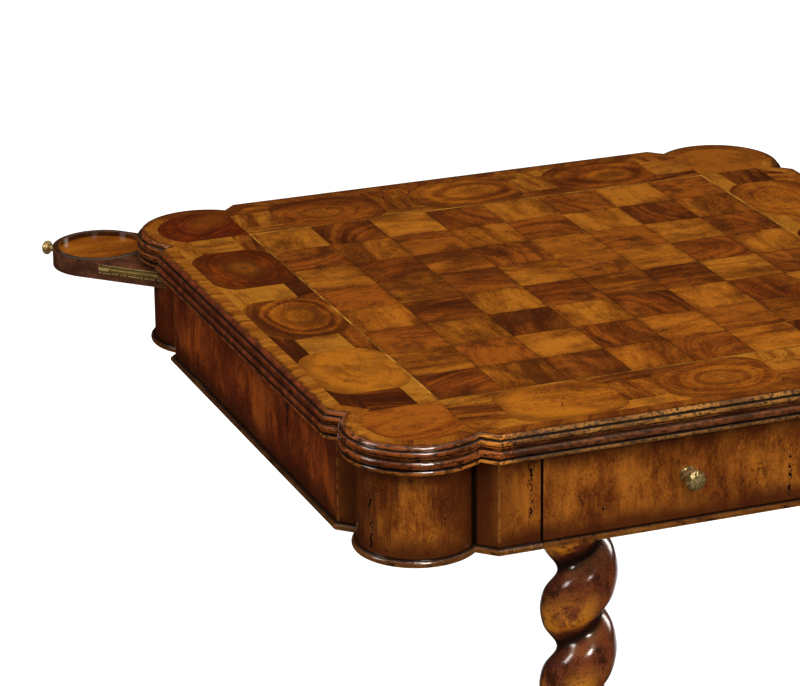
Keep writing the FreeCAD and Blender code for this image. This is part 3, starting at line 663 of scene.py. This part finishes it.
# ---- top: core and its two mouldings ----
# The core board carries the veneers. A moulded edge is glued round it, a second moulding under that;
# both are mitred at the shoulders. The round members are rubbed to gold; the quirks are painted black as
# shade.

CORE_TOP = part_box("top_core")[1][2]
GLUE = (0.008, 0.003, 0.0012)
core_wood, tree, shader = new_material("core_wood")
colour, height = wood(tree, along(tree, "X"), POPLAR, RAW["amount"], RAW["streaky"])
# glue and stain that have run down between the veneers
stained = span(tree, split(tree, place(tree))[2], CORE_TOP - 0.001, CORE_TOP - 0.0005)
polish(tree, shader, mix(tree, stained, colour, GLUE), height, RAW["depth"], RAW["roughness"])
dress("top_core", core_wood)

TOP = 0.762
MOULDING_DEPTH = 0.028
REDDISH = (0.095, 0.0245, 0.0055)
QUIRK = (0.06, 0.018, 0.005)
RUBBED = (0.21, 0.080, 0.012)
DULL_GOLD = (0.145, 0.055, 0.010)
UNRUBBED = (0.062, 0.016, 0.0038)
RUSTY = (0.10, 0.034, 0.006)
# each member from the lowest up: the depths of its ends under the top, and its colour on the drawer sides
# and elsewhere
# the black members are painted shade, in the quirks and at the foot of the moulding
MEMBERS = [((0.0280, 0.0264), CREVICE_SHADE, CREVICE_SHADE), ((0.0258, 0.0232), DULL_GOLD, RUSTY),
           ((0.0225, 0.0205), CREVICE_SHADE, CREVICE_SHADE), ((0.0200, 0.0140), REDDISH, UNRUBBED),
           ((0.0135, 0.0132), CREVICE_SHADE, CREVICE_SHADE), ((0.0127, 0.0097), REDDISH, QUIRK),
           ((0.0090, 0.0050), RUBBED, UNRUBBED), ((0.0046, 0.0033), CREVICE_SHADE, CREVICE_SHADE),
           ((0.0030, 0.0024), RUBBED, UNRUBBED), ((0.0016, 0.0), RUBBED, UNRUBBED)]
# factors by which grain and wear change the colour of a member
MOULDING_GRAIN = ((0.45, 0.4, 0.4), (1.0, 0.97, 0.95), (1.5, 1.6, 1.6))
LESS_STAINED = (2.5, 1.6, 1.2)
# burnish on the lobes, with painted sheen
BURNISHED_AND_SHEEN = (2.4, 2.2, 1.7)
MOULDING_DIRT = (0.013, 0.005, 0.002)

moulding_wood, tree, shader = new_material("moulding_wood")
run = recall(tree, "run")
z = split(tree, place(tree))[2]
rise = node(tree, "MapRange", {0: z, 1: TOP - MOULDING_DEPTH, 2: TOP}).outputs[0]
seated, elsewhere = [ramp(tree, rise, [(1.0 - depth / MOULDING_DEPTH, member[choice])
                                      for member in MEMBERS for depth in member[0]]) for choice in (1, 2)]
colour, height = wood(tree, run, MOULDING_GRAIN, amount=0.7)
colour = mix(tree, 1.0, mix(tree, seated_sides(tree), elsewhere, seated), colour, "MULTIPLY")
# the lobes stand out and are burnished by every hand and coat that passes, and are painted lighter as
# sheen; the left and right side are less stained
outwards, across = from_lobe(tree)
passed = product(tree, span(tree, outwards, -SHOULDER_DEPTH, -0.012),
                 span(tree, absolute(tree, across), SHOULDER_END, 0.090))
pale = maths(tree, "SUBTRACT", minus(tree, 1.0, passed), seated_sides(tree), clamp=True)
for mask, factors in ((pale, LESS_STAINED), (passed, BURNISHED_AND_SHEEN)):
    colour = mix(tree, mask, colour, mix(tree, 1.0, colour, factors, "MULTIPLY"))
worn = noise(tree, run, (150.0, 220.0, 420.0), 5.0, 0.72)
colour = mix(tree, span(tree, worn, 0.48, 0.57, 0.0, 0.9), colour, MOULDING_DIRT)
uneven = noise(tree, run, (45.0, 90.0, 90.0))
height = total(tree, (height, 0.6), (worn, 0.6), (uneven, 1.1))
grimy = span(tree, rise, 0.08, 0.04)
roughness = plus(tree, span(tree, passed, 0.0, 1.0, 0.36, 0.11), product(tree, grimy, 0.4))
waxed = product(tree, passed, minus(tree, 1.0, grimy))
polish(tree, shader, colour, height, 0.0007, roughness, level=0.35, wax=waxed)
for name in ("top_moulding", "under_moulding"):
    follow_outline(name, moulding_wood)


# ---- inlaid veneers ----
# Sawn walnut veneers glued on the core: squares, light stringing, oysters cut across small branches,
# fillers between them, roundels in the lobes, and crossbanding whose short grain runs outwards.

SQUARE = 0.0631
BORDER_MIDDLE = 0.2960          # between the stringing and the crossbanding
OYSTER_PITCH = 0.1537
SEAM = 0.00025                  # by which a veneer is drawn back from its neighbours


def veneers(name, centres, figures, material):
    """Copy of a veneer node. Each piece shrinks from its neighbours by a hair, and its vertices know
    their place relative to the heart of the wood, and the tone of the piece. A figure is the heart's x
    and y from the centre, the angle and stretch of the grain or rings, and the tone."""
    mesh = nodes[name].data.copy()
    centres = np.array(centres)
    figure = np.zeros((len(mesh.vertices), 3))
    tone = np.zeros((len(mesh.vertices), 3))
    done = set()
    for polygon in mesh.polygons:
        inside = (polygon.center - polygon.normal * 0.002).xy
        piece = int(np.argmin(np.hypot(centres[:, 0] - inside.x, centres[:, 1] - inside.y)))
        heart_x, heart_y, angle, wide, tones = figures[piece]
        cosine, sine = math.cos(angle), math.sin(angle)
        for index in set(polygon.vertices) - done:
            vertex = mesh.vertices[index].co
            x, y = vertex.x - centres[piece][0] - heart_x, vertex.y - centres[piece][1] - heart_y
            figure[index] = ((x * cosine + y * sine) / wide, y * cosine - x * sine, piece)
            tone[index] = tones
            for axis in (0, 1):
                offset = vertex[axis] - centres[piece][axis]
                vertex[axis] -= math.copysign(min(SEAM, abs(offset) * 0.1), offset)
        done.update(polygon.vertices)
    remember(mesh, "figure", figure)
    remember(mesh, "tone", tone)
    show_instead(name, mesh, material)


# Rings: growth rings round the heart, seen on the end of a branch. A star of checks opens in the heart
# and one longer check runs out from it.
group, entry, result = new_group("rings", [("Figure", "Vector")],
                                 [("Rings", "Float"), ("Heart", "Float"), ("Checks", "Float")])
STAR_WIDTH = 0.00055
CHECK_WIDTH = 0.00035
u, v, seed = split(group, entry["Figure"])
flat = joined(group, u, v, product(group, seed, 3.1))
centred = shake(group, flat, 24.0, 0.016)
ring_u, ring_v, _ = split(group, centred)
reach = length(group, joined(group, ring_u, ring_v, 0.0))
bands = noise(group, joined(group, product(group, reach, 105.0), seed, 0.0), 1.0, 2.0, 0.6)
hair = noise(group, joined(group, product(group, reach, 600.0), seed, 0.0), 1.0, 1.0)
angle = maths(group, "ARCTAN2", ring_v, ring_u)
arms = absolute(group, maths(group, "SINE", total(group, (angle, 2.5), (seed, 1.0))))
star = product(group, maths(group, "LESS_THAN", product(group, arms, reach), STAR_WIDTH),
               span(group, reach, 0.0065, 0.004))
away = total(group, (angle, 1.0), (seed, 2.3))
beside = product(group, absolute(group, maths(group, "SINE", away)), reach)
ahead = product(group, maths(group, "COSINE", away), reach)
long_check = product(group, maths(group, "LESS_THAN", beside, CHECK_WIDTH), span(group, ahead, 0.008, 0.010),
                     span(group, ahead, 0.021, 0.017))
fill(group, result["Rings"], span(group, total(group, (bands, 0.85), (hair, 0.15)), 0.34, 0.66))
fill(group, result["Heart"], span(group, reach, 0.026, 0.006))
fill(group, result["Checks"], highest(group, star, long_check))
rings_group = group


def board_seams(tree):
    """Stain that has gathered along the seams between the squares."""
    offsets = []
    for value in split(tree, place(tree))[:2]:
        across_square = maths(tree, "FRACT", maths(tree, "DIVIDE", value, SQUARE))
        offsets.append(absolute(tree, minus(tree, across_square, 0.5)))
    edge = highest(tree, *offsets)
    uneven = span(tree, noise(tree, place(tree), 48.0, 4.0, 0.6), 0.40, 0.64)
    gathered = product(tree, span(tree, edge, 0.36, 0.5), uneven, 0.6)
    return highest(tree, gathered, span(tree, edge, 0.489, 0.496, 0.0, 0.6))


def oyster_rims(tree):
    """The darker wood near the bark, at the rim of a slice."""
    u, v, seed = split(tree, recall(tree, "figure"))
    reach = length(tree, joined(tree, u, v, 0.0))
    uneven = product(tree, noise(tree, place(tree), 60.0, 2.0), 0.014)
    return span(tree, plus(tree, reach, uneven), 0.040, 0.055, 0.0, 0.55)


HEART = (0.28, 0.075, 0.006)
VENEER_SMOKE = (0.048, 0.012, 0.0022)
VENEER_MARKS = (0.028, 0.009, 0.002)
REDDENED = (1.0, 0.66, 0.60)


def veneer_wood(name, colours, ringed, heart_colour=HEART, checks=0.0, stained=None, smoke=0.4, figured=0.46):
    """Veneer whose colour follows grain or rings, shifted by the tone of the piece: how much lighter, how
    much redder, and how strongly its rings are drawn."""
    material, tree, shader = new_material(name)
    figure = recall(tree, "figure")
    lighter, redder, drawn = split(tree, recall(tree, "tone"))
    u, v, seed = split(tree, figure)
    grain = group_outputs(tree, grain_group, {"Place": joined(tree, u, v, 0.0), "Seed": seed})
    wear = group_outputs(tree, distress_group, {"Place": place(tree), "Amount": 0.7})
    rings = group_outputs(tree, rings_group, {"Figure": figure})
    pattern = node(tree, "Mix", {0: product(tree, drawn, ringed), 2: grain["Streak"],
                                           3: rings["Rings"]}).outputs[0]
    level = total(tree, (pattern, figured), (grain["Cloud"], 0.84 - figured), (grain["Fibre"], 0.12),
                  (grain["Speckle"], 0.18), (lighter, 1.0))
    level = maths(tree, "ADD", product(tree, level, 0.6), 0.276, clamp=True)
    darkest = [0.3 * value for value in colours[0]]
    colour = ramp(tree, level, zip((0.12, 0.43, 0.6, 0.78), (darkest, *colours)))
    colour = mix(tree, redder, colour, REDDENED, "MULTIPLY")
    warm_heart = product(tree, rings["Heart"], drawn, 0.4 * ringed)
    colour = mix(tree, warm_heart, colour, heart_colour)
    shade = span(tree, noise(tree, place(tree), 36.0, 6.0, 0.64), 0.47, 0.66, 0.0, smoke)
    if stained:
        shade = highest(tree, shade, stained(tree))
    colour = mix(tree, shade, colour, VENEER_SMOKE)
    marks = highest(tree, wear["Marks"], product(tree, wear["Flecks"], 0.75),
                    product(tree, grain["Pores"], 0.3), product(tree, wear["Hairs"], 0.5),
                    product(tree, rings["Checks"], checks))
    colour = mix(tree, marks, colour, VENEER_MARKS)
    height = minus(tree, product(tree, grain["Fibre"], 0.05), marks)
    polish(tree, shader, colour, height, 0.00008, roughness=0.12, level=0.35)
    return material


chance = random.Random(14)


def straight_figures(centres, spread, drawn=0.0):
    """Pieces cut from boards: grain along either side, and a little difference in tone."""
    found = []
    for _ in centres:
        angle = chance.choice((0.0, math.pi / 2)) + chance.uniform(-0.25, 0.25)
        heart_x, heart_y = [chance.choice((-1, 1)) * chance.uniform(0.2, 0.75) * SQUARE for _ in range(2)]
        tone = (chance.uniform(-spread, spread), chance.uniform(0, 0.3), chance.uniform(0.4, 1.0) * drawn)
        found.append((heart_x, heart_y, angle, 1.6, tone))
    return found


dark_places, light_places = [[((column - 3.5) * SQUARE, (row - 3.5) * SQUARE)
                              for column in range(8) for row in range(8) if (column + row) % 2 == colour]
                             for colour in (0, 1)]

LIGHT = ((0.10, 0.025, 0.0022), (0.22, 0.064, 0.0045), (0.36, 0.12, 0.009))
DARK = ((0.052, 0.011, 0.0017), (0.135, 0.031, 0.003), (0.25, 0.067, 0.0052))
light_wood = veneer_wood("light_square_wood", LIGHT, 0.8, stained=board_seams, smoke=0.45, figured=0.3)
dark_wood = veneer_wood("dark_square_wood", DARK, 1.0, stained=board_seams, smoke=0.7)
veneers("light_squares", light_places, straight_figures(light_places, 0.16, drawn=0.4), light_wood)
veneers("dark_squares", dark_places, straight_figures(dark_places, 0.22, drawn=1.0), dark_wood)

STRINGING = ((0.11, 0.034, 0.004), (0.25, 0.095, 0.010), (0.44, 0.20, 0.028))
dress("board_stringing", timber("stringing_wood", STRINGING, "X", amount=0.3, depth=0.00006, roughness=0.12))


def round_the_border(points):
    """Points on the +X side, repeated on the +Y, -X and -Y sides."""
    return [(x * c - y * s, x * s + y * c) for c, s in ((1, 0), (0, 1), (-1, 0), (0, -1)) for x, y in points]


oyster_places = round_the_border([(BORDER_MIDDLE, OYSTER_PITCH * k) for k in (-1, 0, 1)])
# lightness, redness and strength of the rings of each oyster, side by side in the same order
oyster_tones = [(0.0, 0.2, 0.8), (-0.05, 0.3, 1.0), (0.05, 0.2, 0.8), (-0.1, 0.35, 0.9), (0.0, 0.2, 0.8),
                (-0.1, 0.3, 0.9), (-0.22, 0.75, 0.9), (-0.1, 0.15, 1.0), (0.30, 0.05, 0.8), (0.12, 0.05, 0.6),
                (0.08, 0.15, 0.9), (0.05, 0.25, 0.8)]
oyster_figures = []
for (x, y), tone in zip(oyster_places, oyster_tones):
    angle = 0.0 if abs(x) < abs(y) else math.pi / 2
    oyster_figures.append((chance.uniform(-0.008, 0.008), chance.uniform(-0.006, 0.006), angle, 1.45, tone))
OYSTER = ((0.075, 0.016, 0.0018), (0.185, 0.047, 0.0035), (0.34, 0.108, 0.0068))
OYSTER_HEART = (0.30, 0.092, 0.0055)
oyster_wood = veneer_wood("oyster_wood", OYSTER, 1.0, OYSTER_HEART, checks=1.0, stained=oyster_rims)
veneers("border_oysters", oyster_places, oyster_figures, oyster_wood)

FILLERS = [OYSTER_PITCH * k for k in (-1.48, -0.5, 0.5, 1.48)]
WEDGE_OFFSET = 0.033
block_places = round_the_border([(BORDER_MIDDLE, y) for y in FILLERS])
wedge_places = round_the_border([(BORDER_MIDDLE + offset, y)
                                 for y in FILLERS for offset in (-WEDGE_OFFSET, WEDGE_OFFSET)])
DARK_TONE = (-0.34, 0.35, 0.0)
GOLD_TONE = (0.30, 0.0, 0.0)
# chosen tones on the -X side, from back to front, and of the first fillers on the -Y side
BLOCK_TONES = (GOLD_TONE, GOLD_TONE, DARK_TONE, (0.05, 0.1, 0.0))
WEDGE_TONES = (DARK_TONE, GOLD_TONE, DARK_TONE, DARK_TONE, GOLD_TONE, DARK_TONE, (0.1, 0.0, 0.0))
FILLER = ((0.055, 0.012, 0.0018), (0.16, 0.041, 0.0035), (0.32, 0.115, 0.0095))
filler_wood = veneer_wood("filler_wood", FILLER, 0.3)
for name, places, spread, first, tones in (("filler_blocks", block_places, 0.22, 9, BLOCK_TONES),
                                           ("filler_wedges", wedge_places, 0.3, 18, WEDGE_TONES)):
    figures = straight_figures(places, spread)
    for number, tone in enumerate(tones, first):
        figures[number] = (*figures[number][:4], tone)
    veneers(name, places, figures, filler_wood)

ROUNDEL_MIDDLE = 0.30
ROUNDEL = ((0.07, 0.013, 0.0018), (0.15, 0.033, 0.003), (0.26, 0.073, 0.0052))
ROUNDEL_HEART = (0.27, 0.075, 0.005)
roundel_places = [(sx * ROUNDEL_MIDDLE, sy * ROUNDEL_MIDDLE) for sy in (-1, 1) for sx in (-1, 1)]
roundel_figures = [(0.004, 0.0, math.pi * 0.05, 1.9, (0.10, 0.2, 0.75)),
                   (0.01, 0.0, 2.2, 1.7, (0.0, 0.3, 0.8)),
                   (0.02, 0.01, 0.8, 1.7, (-0.30, 0.9, 0.8)),
                   (0.0, 0.01, 0.3, 1.8, (0.50, 0.0, 1.0))]
roundel_wood = veneer_wood("roundel_wood", ROUNDEL, 1.0, ROUNDEL_HEART, checks=0.6)
veneers("corner_roundels", roundel_places, roundel_figures, roundel_wood)

BAND_LENGTH = 0.052
CROSSBAND = [(0.15, (0.095, 0.020, 0.002)), (0.5, (0.20, 0.056, 0.0042)), (0.88, (0.37, 0.135, 0.012))]
CROSSBAND_SEAM = (0.04, 0.012, 0.0025)
CROSSBAND_BURN = (0.055, 0.013, 0.0025)
CROSSBAND_MARKS = (0.035, 0.011, 0.0025)
crossband_wood, tree, shader = new_material("crossband_wood")
distance, reach, _ = split(tree, recall(tree, "run"))
wobble = product(tree, noise(tree, joined(tree, distance, 0.0, 0.0), 14.0, 1.0), 0.9)
lengths = plus(tree, maths(tree, "DIVIDE", distance, BAND_LENGTH), wobble)
number = maths(tree, "FLOOR", lengths)
piece_tone = node(tree, "TexWhiteNoise", {"W": number}, noise_dimensions="1D").outputs["Value"]
grain = group_outputs(tree, grain_group, {"Place": joined(tree, reach, distance, 0.0), "Seed": number})
wear = group_outputs(tree, distress_group, {"Place": place(tree), "Amount": 0.9})
level = total(tree, (grain["Streak"], 0.08), (grain["Cloud"], 0.42), (grain["Fibre"], 0.14),
              (piece_tone, 0.2), (grain["Speckle"], 0.2))
x, y, z = split(tree, place(tree))
# painted sheen: the left and right runs are lighter than the front and back
sheen_sides = minus(tree, absolute(tree, x), absolute(tree, y))
level = plus(tree, level, span(tree, sheen_sides, -0.03, 0.03, -0.24, 0.06))
colour = ramp(tree, level, CROSSBAND)
edge = absolute(tree, minus(tree, minus(tree, lengths, number), 0.5))
seams = span(tree, edge, 0.487, 0.495, 0.0, 0.7)
ragged = product(tree, minus(tree, noise(tree, place(tree), 110.0, 4.0), 0.5), 0.012)
burnt = span(tree, plus(tree, reach, ragged), 0.0035, 0.0088, 0.0, 0.85)
marks = highest(tree, wear["Marks"], product(tree, wear["Flecks"], 0.7), product(tree, grain["Pores"], 0.45))
for mask, tint in ((seams, CROSSBAND_SEAM), (burnt, CROSSBAND_BURN), (marks, CROSSBAND_MARKS)):
    colour = mix(tree, mask, colour, tint)
polish(tree, shader, colour, minus(tree, 0.0, marks), 0.0001, roughness=0.14, level=0.35)
follow_outline("crossbanding", crossband_wood)


# ---- slides ----
# Solid walnut boards with a round end that draw out of two corners, run on pins in brass channels.
# A dark turned rim stands round a cup recess, whose floor is a disc of golden veneer.

SLIDE = ((0.036, 0.013, 0.007), (0.085, 0.029, 0.013), (0.15, 0.047, 0.018))
RIM = ((0.008, 0.003, 0.0015), (0.022, 0.0065, 0.0025), (0.06, 0.018, 0.005))
CUP = ((0.135, 0.034, 0.002), (0.225, 0.058, 0.003), (0.31, 0.095, 0.006))
slide_wood, tree, shader = new_material("slide_wood")
x, y, z = split(tree, place(tree))
diagonal = joined(tree, minus(tree, y, x), plus(tree, x, y), z)
polish(tree, shader, *wood(tree, diagonal, SLIDE, amount=0.4))
rim_wood = timber("rim_wood", RIM, "X", amount=0.5, roughness=0.15, level=0.5, wax=1.0)
cup_wood = timber("cup_floor_wood", CUP, "X", depth=0.0001)
channel_brass = aged_brass("channel_brass", grooved=True)
for piece, material in (("board", slide_wood), ("rim", rim_wood), ("recess_floor", cup_wood),
                        ("channels", channel_brass), ("knob", brass)):
    dress(f"slide_back_left_{piece} slide_front_right_{piece}", material)


# ---- drawers ----
# The front is one board as high as the frieze, with upright veneer and its own length of the bead.
# Sides and back are of oak, dovetailed to the front; a hammered brass knob is screwed through it.

OAK = ((0.26, 0.15, 0.06), (0.37, 0.23, 0.10), (0.46, 0.30, 0.145))
oak_lengthwise = bare_wood("oak_lengthwise", OAK, "Y")
oak_across = bare_wood("oak_across", OAK, "X")
DRAWER_TRACKS = [(0.053, -FRIEZE_HALF, 0.653, 0.698), (-0.12, FRIEZE_HALF, 0.700, 0.732)]
drawer_front_wood, tree, shader = new_material("drawer_front_wood")
colour, height = frieze_wood(tree, GOLDEN, DRAWER_TRACKS)
x, y, z = split(tree, place(tree))
bead_colour, bead_height = bead_finish(tree, joined(tree, x, 0.0, z))
on_bead = maths(tree, "LESS_THAN", z, FRIEZE_BOTTOM)
colour = mix(tree, on_bead, colour, bead_colour)
height = node(tree, "Mix", {0: on_bead, 2: height, 3: product(tree, bead_height, 2.0)}).outputs[0]
frieze_polish(tree, shader, colour, height)
hammered_brass = aged_brass("hammered_brass", blows=330.0)
for piece, material in (("front", drawer_front_wood), ("sides", oak_lengthwise), ("floor", oak_lengthwise),
                        ("back", oak_across), ("knob", hammered_brass)):
    dress(f"front_drawer_{piece} back_drawer_{piece}", material)


# ---- floor, light and camera ----
# The table stands on a plain pale floor in a soft studio light. The floor shines a little, so that it
# is white where it is lit, and its grey shadow under the feet stays.

FLOOR_REACH = 30.0
FLOOR_GLOW = 0.72
FLOOR_COLOUR = (0.62, 0.6, 0.57, 1.0)
# middle of a patch of painted glow on the floor, seen only in reflections
GLOW_PATCH_PLACE = (0.8, 1.1, 0.0)
SKY_COLOUR = (1.0, 0.96, 0.9, 1.0)

floor_mesh = bpy.data.meshes.new("floor")
corners = [(sx * FLOOR_REACH, sy * FLOOR_REACH, 0) for sx, sy in ((-1, -1), (1, -1), (1, 1), (-1, 1))]
floor_mesh.from_pydata(corners, [], [(0, 1, 2, 3)])
floor = add("floor", floor_mesh)
pale_floor = bpy.data.materials.new("pale_floor")
pale_floor.use_nodes = True
tree = pale_floor.node_tree
tree.nodes.clear()
light_path = node(tree, "LightPath").outputs
seen = highest(tree, light_path["Is Camera Ray"], light_path["Is Transmission Ray"])
glow = node(tree, "Emission", {"Strength": product(tree, seen, FLOOR_GLOW)})
matt = node(tree, "BsdfDiffuse", {"Color": FLOOR_COLOUR})
lit = node(tree, "AddShader", {0: matt.outputs[0], 1: glow.outputs[0]})
# in reflections the floor shows a patch of painted glow behind the table, and is nearly dark elsewhere
from_glow_patch = apart(tree, place(tree), GLOW_PATCH_PLACE)
mirrored = node(tree, "Emission", {"Strength": span(tree, from_glow_patch, 1.0, 0.5, 0.006, 0.7)})
above = node(tree, "MixShader", {0: light_path["Is Glossy Ray"], 1: lit.outputs[0],
                                          2: mirrored.outputs[0]})
# from below the floor is clear
below = node(tree, "NewGeometry").outputs["Backfacing"]
clear = node(tree, "BsdfTransparent")
shown = node(tree, "MixShader", {0: below, 1: above.outputs[0], 2: clear.outputs[0]})
node(tree, "OutputMaterial", {0: shown.outputs[0]})
floor_mesh.materials.append(pale_floor)

world = bpy.data.worlds.new("studio")
bpy.context.scene.world = world
world.use_nodes = True
tree = world.node_tree
up = split(tree, node(tree, "TexCoord").outputs["Generated"])[2]
light_path = node(tree, "LightPath").outputs
soft_sky = span(tree, up, 0.45, 0.85, 0.012, 0.45)
ambient = span(tree, up, 0.0, 0.6, 0.25, 0.7)
strength = node(tree, "Mix", {0: light_path["Is Glossy Ray"], 2: ambient, 3: soft_sky}).outputs[0]
background = tree.nodes["Background"].inputs
fill(tree, background["Strength"], highest(tree, strength, light_path["Is Camera Ray"]))
fill(tree, background["Color"], SKY_COLOUR)


def softbox(name, spot, target, size, power):
    lamp = bpy.data.lights.new(name, "AREA")
    lamp.shape = "RECTANGLE"
    lamp.size, lamp.size_y = size
    lamp.energy = power
    holder = add(name, lamp)
    holder.location = spot
    holder.rotation_euler = (Vector(target) - Vector(spot)).to_track_quat("-Z", "Y").to_euler()


softbox("key", (-0.4, -2.7, 2.9), (0, 0, 0.7), (0.8, 1.8), 95)
softbox("overhead", (-0.6, -1.3, 2.9), (0, 0, 0.75), (0.4, 0.4), 12)
softbox("left", (-2.6, 0.1, 2.1), (0, 0, 0.7), (0.8, 1.2), 20)
softbox("right", (2.7, 0.5, 1.5), (0, 0, 0.6), (0.8, 1.3), 22)

CAMERA_PLACE = Vector((-1.368, -3.014, 1.909))
CAMERA_RIGHT = Vector((0.9302, -0.3669, -0.0089))
CAMERA_UP = Vector((0.1341, 0.3174, 0.9387))
CAMERA_BACK = Vector((-0.3416, -0.8744, 0.3445))
lens = bpy.data.cameras.new("camera")
lens.lens = 161.4
lens.sensor_width = 36.0
lens.clip_end = 100.0
camera = add("camera", lens)
turn = Matrix((CAMERA_RIGHT, CAMERA_UP, CAMERA_BACK)).transposed()
camera.matrix_world = Matrix.Translation(CAMERA_PLACE) @ turn.to_4x4()
bpy.context.scene.camera = camera
bpy.context.scene.view_settings.view_transform = "Standard"
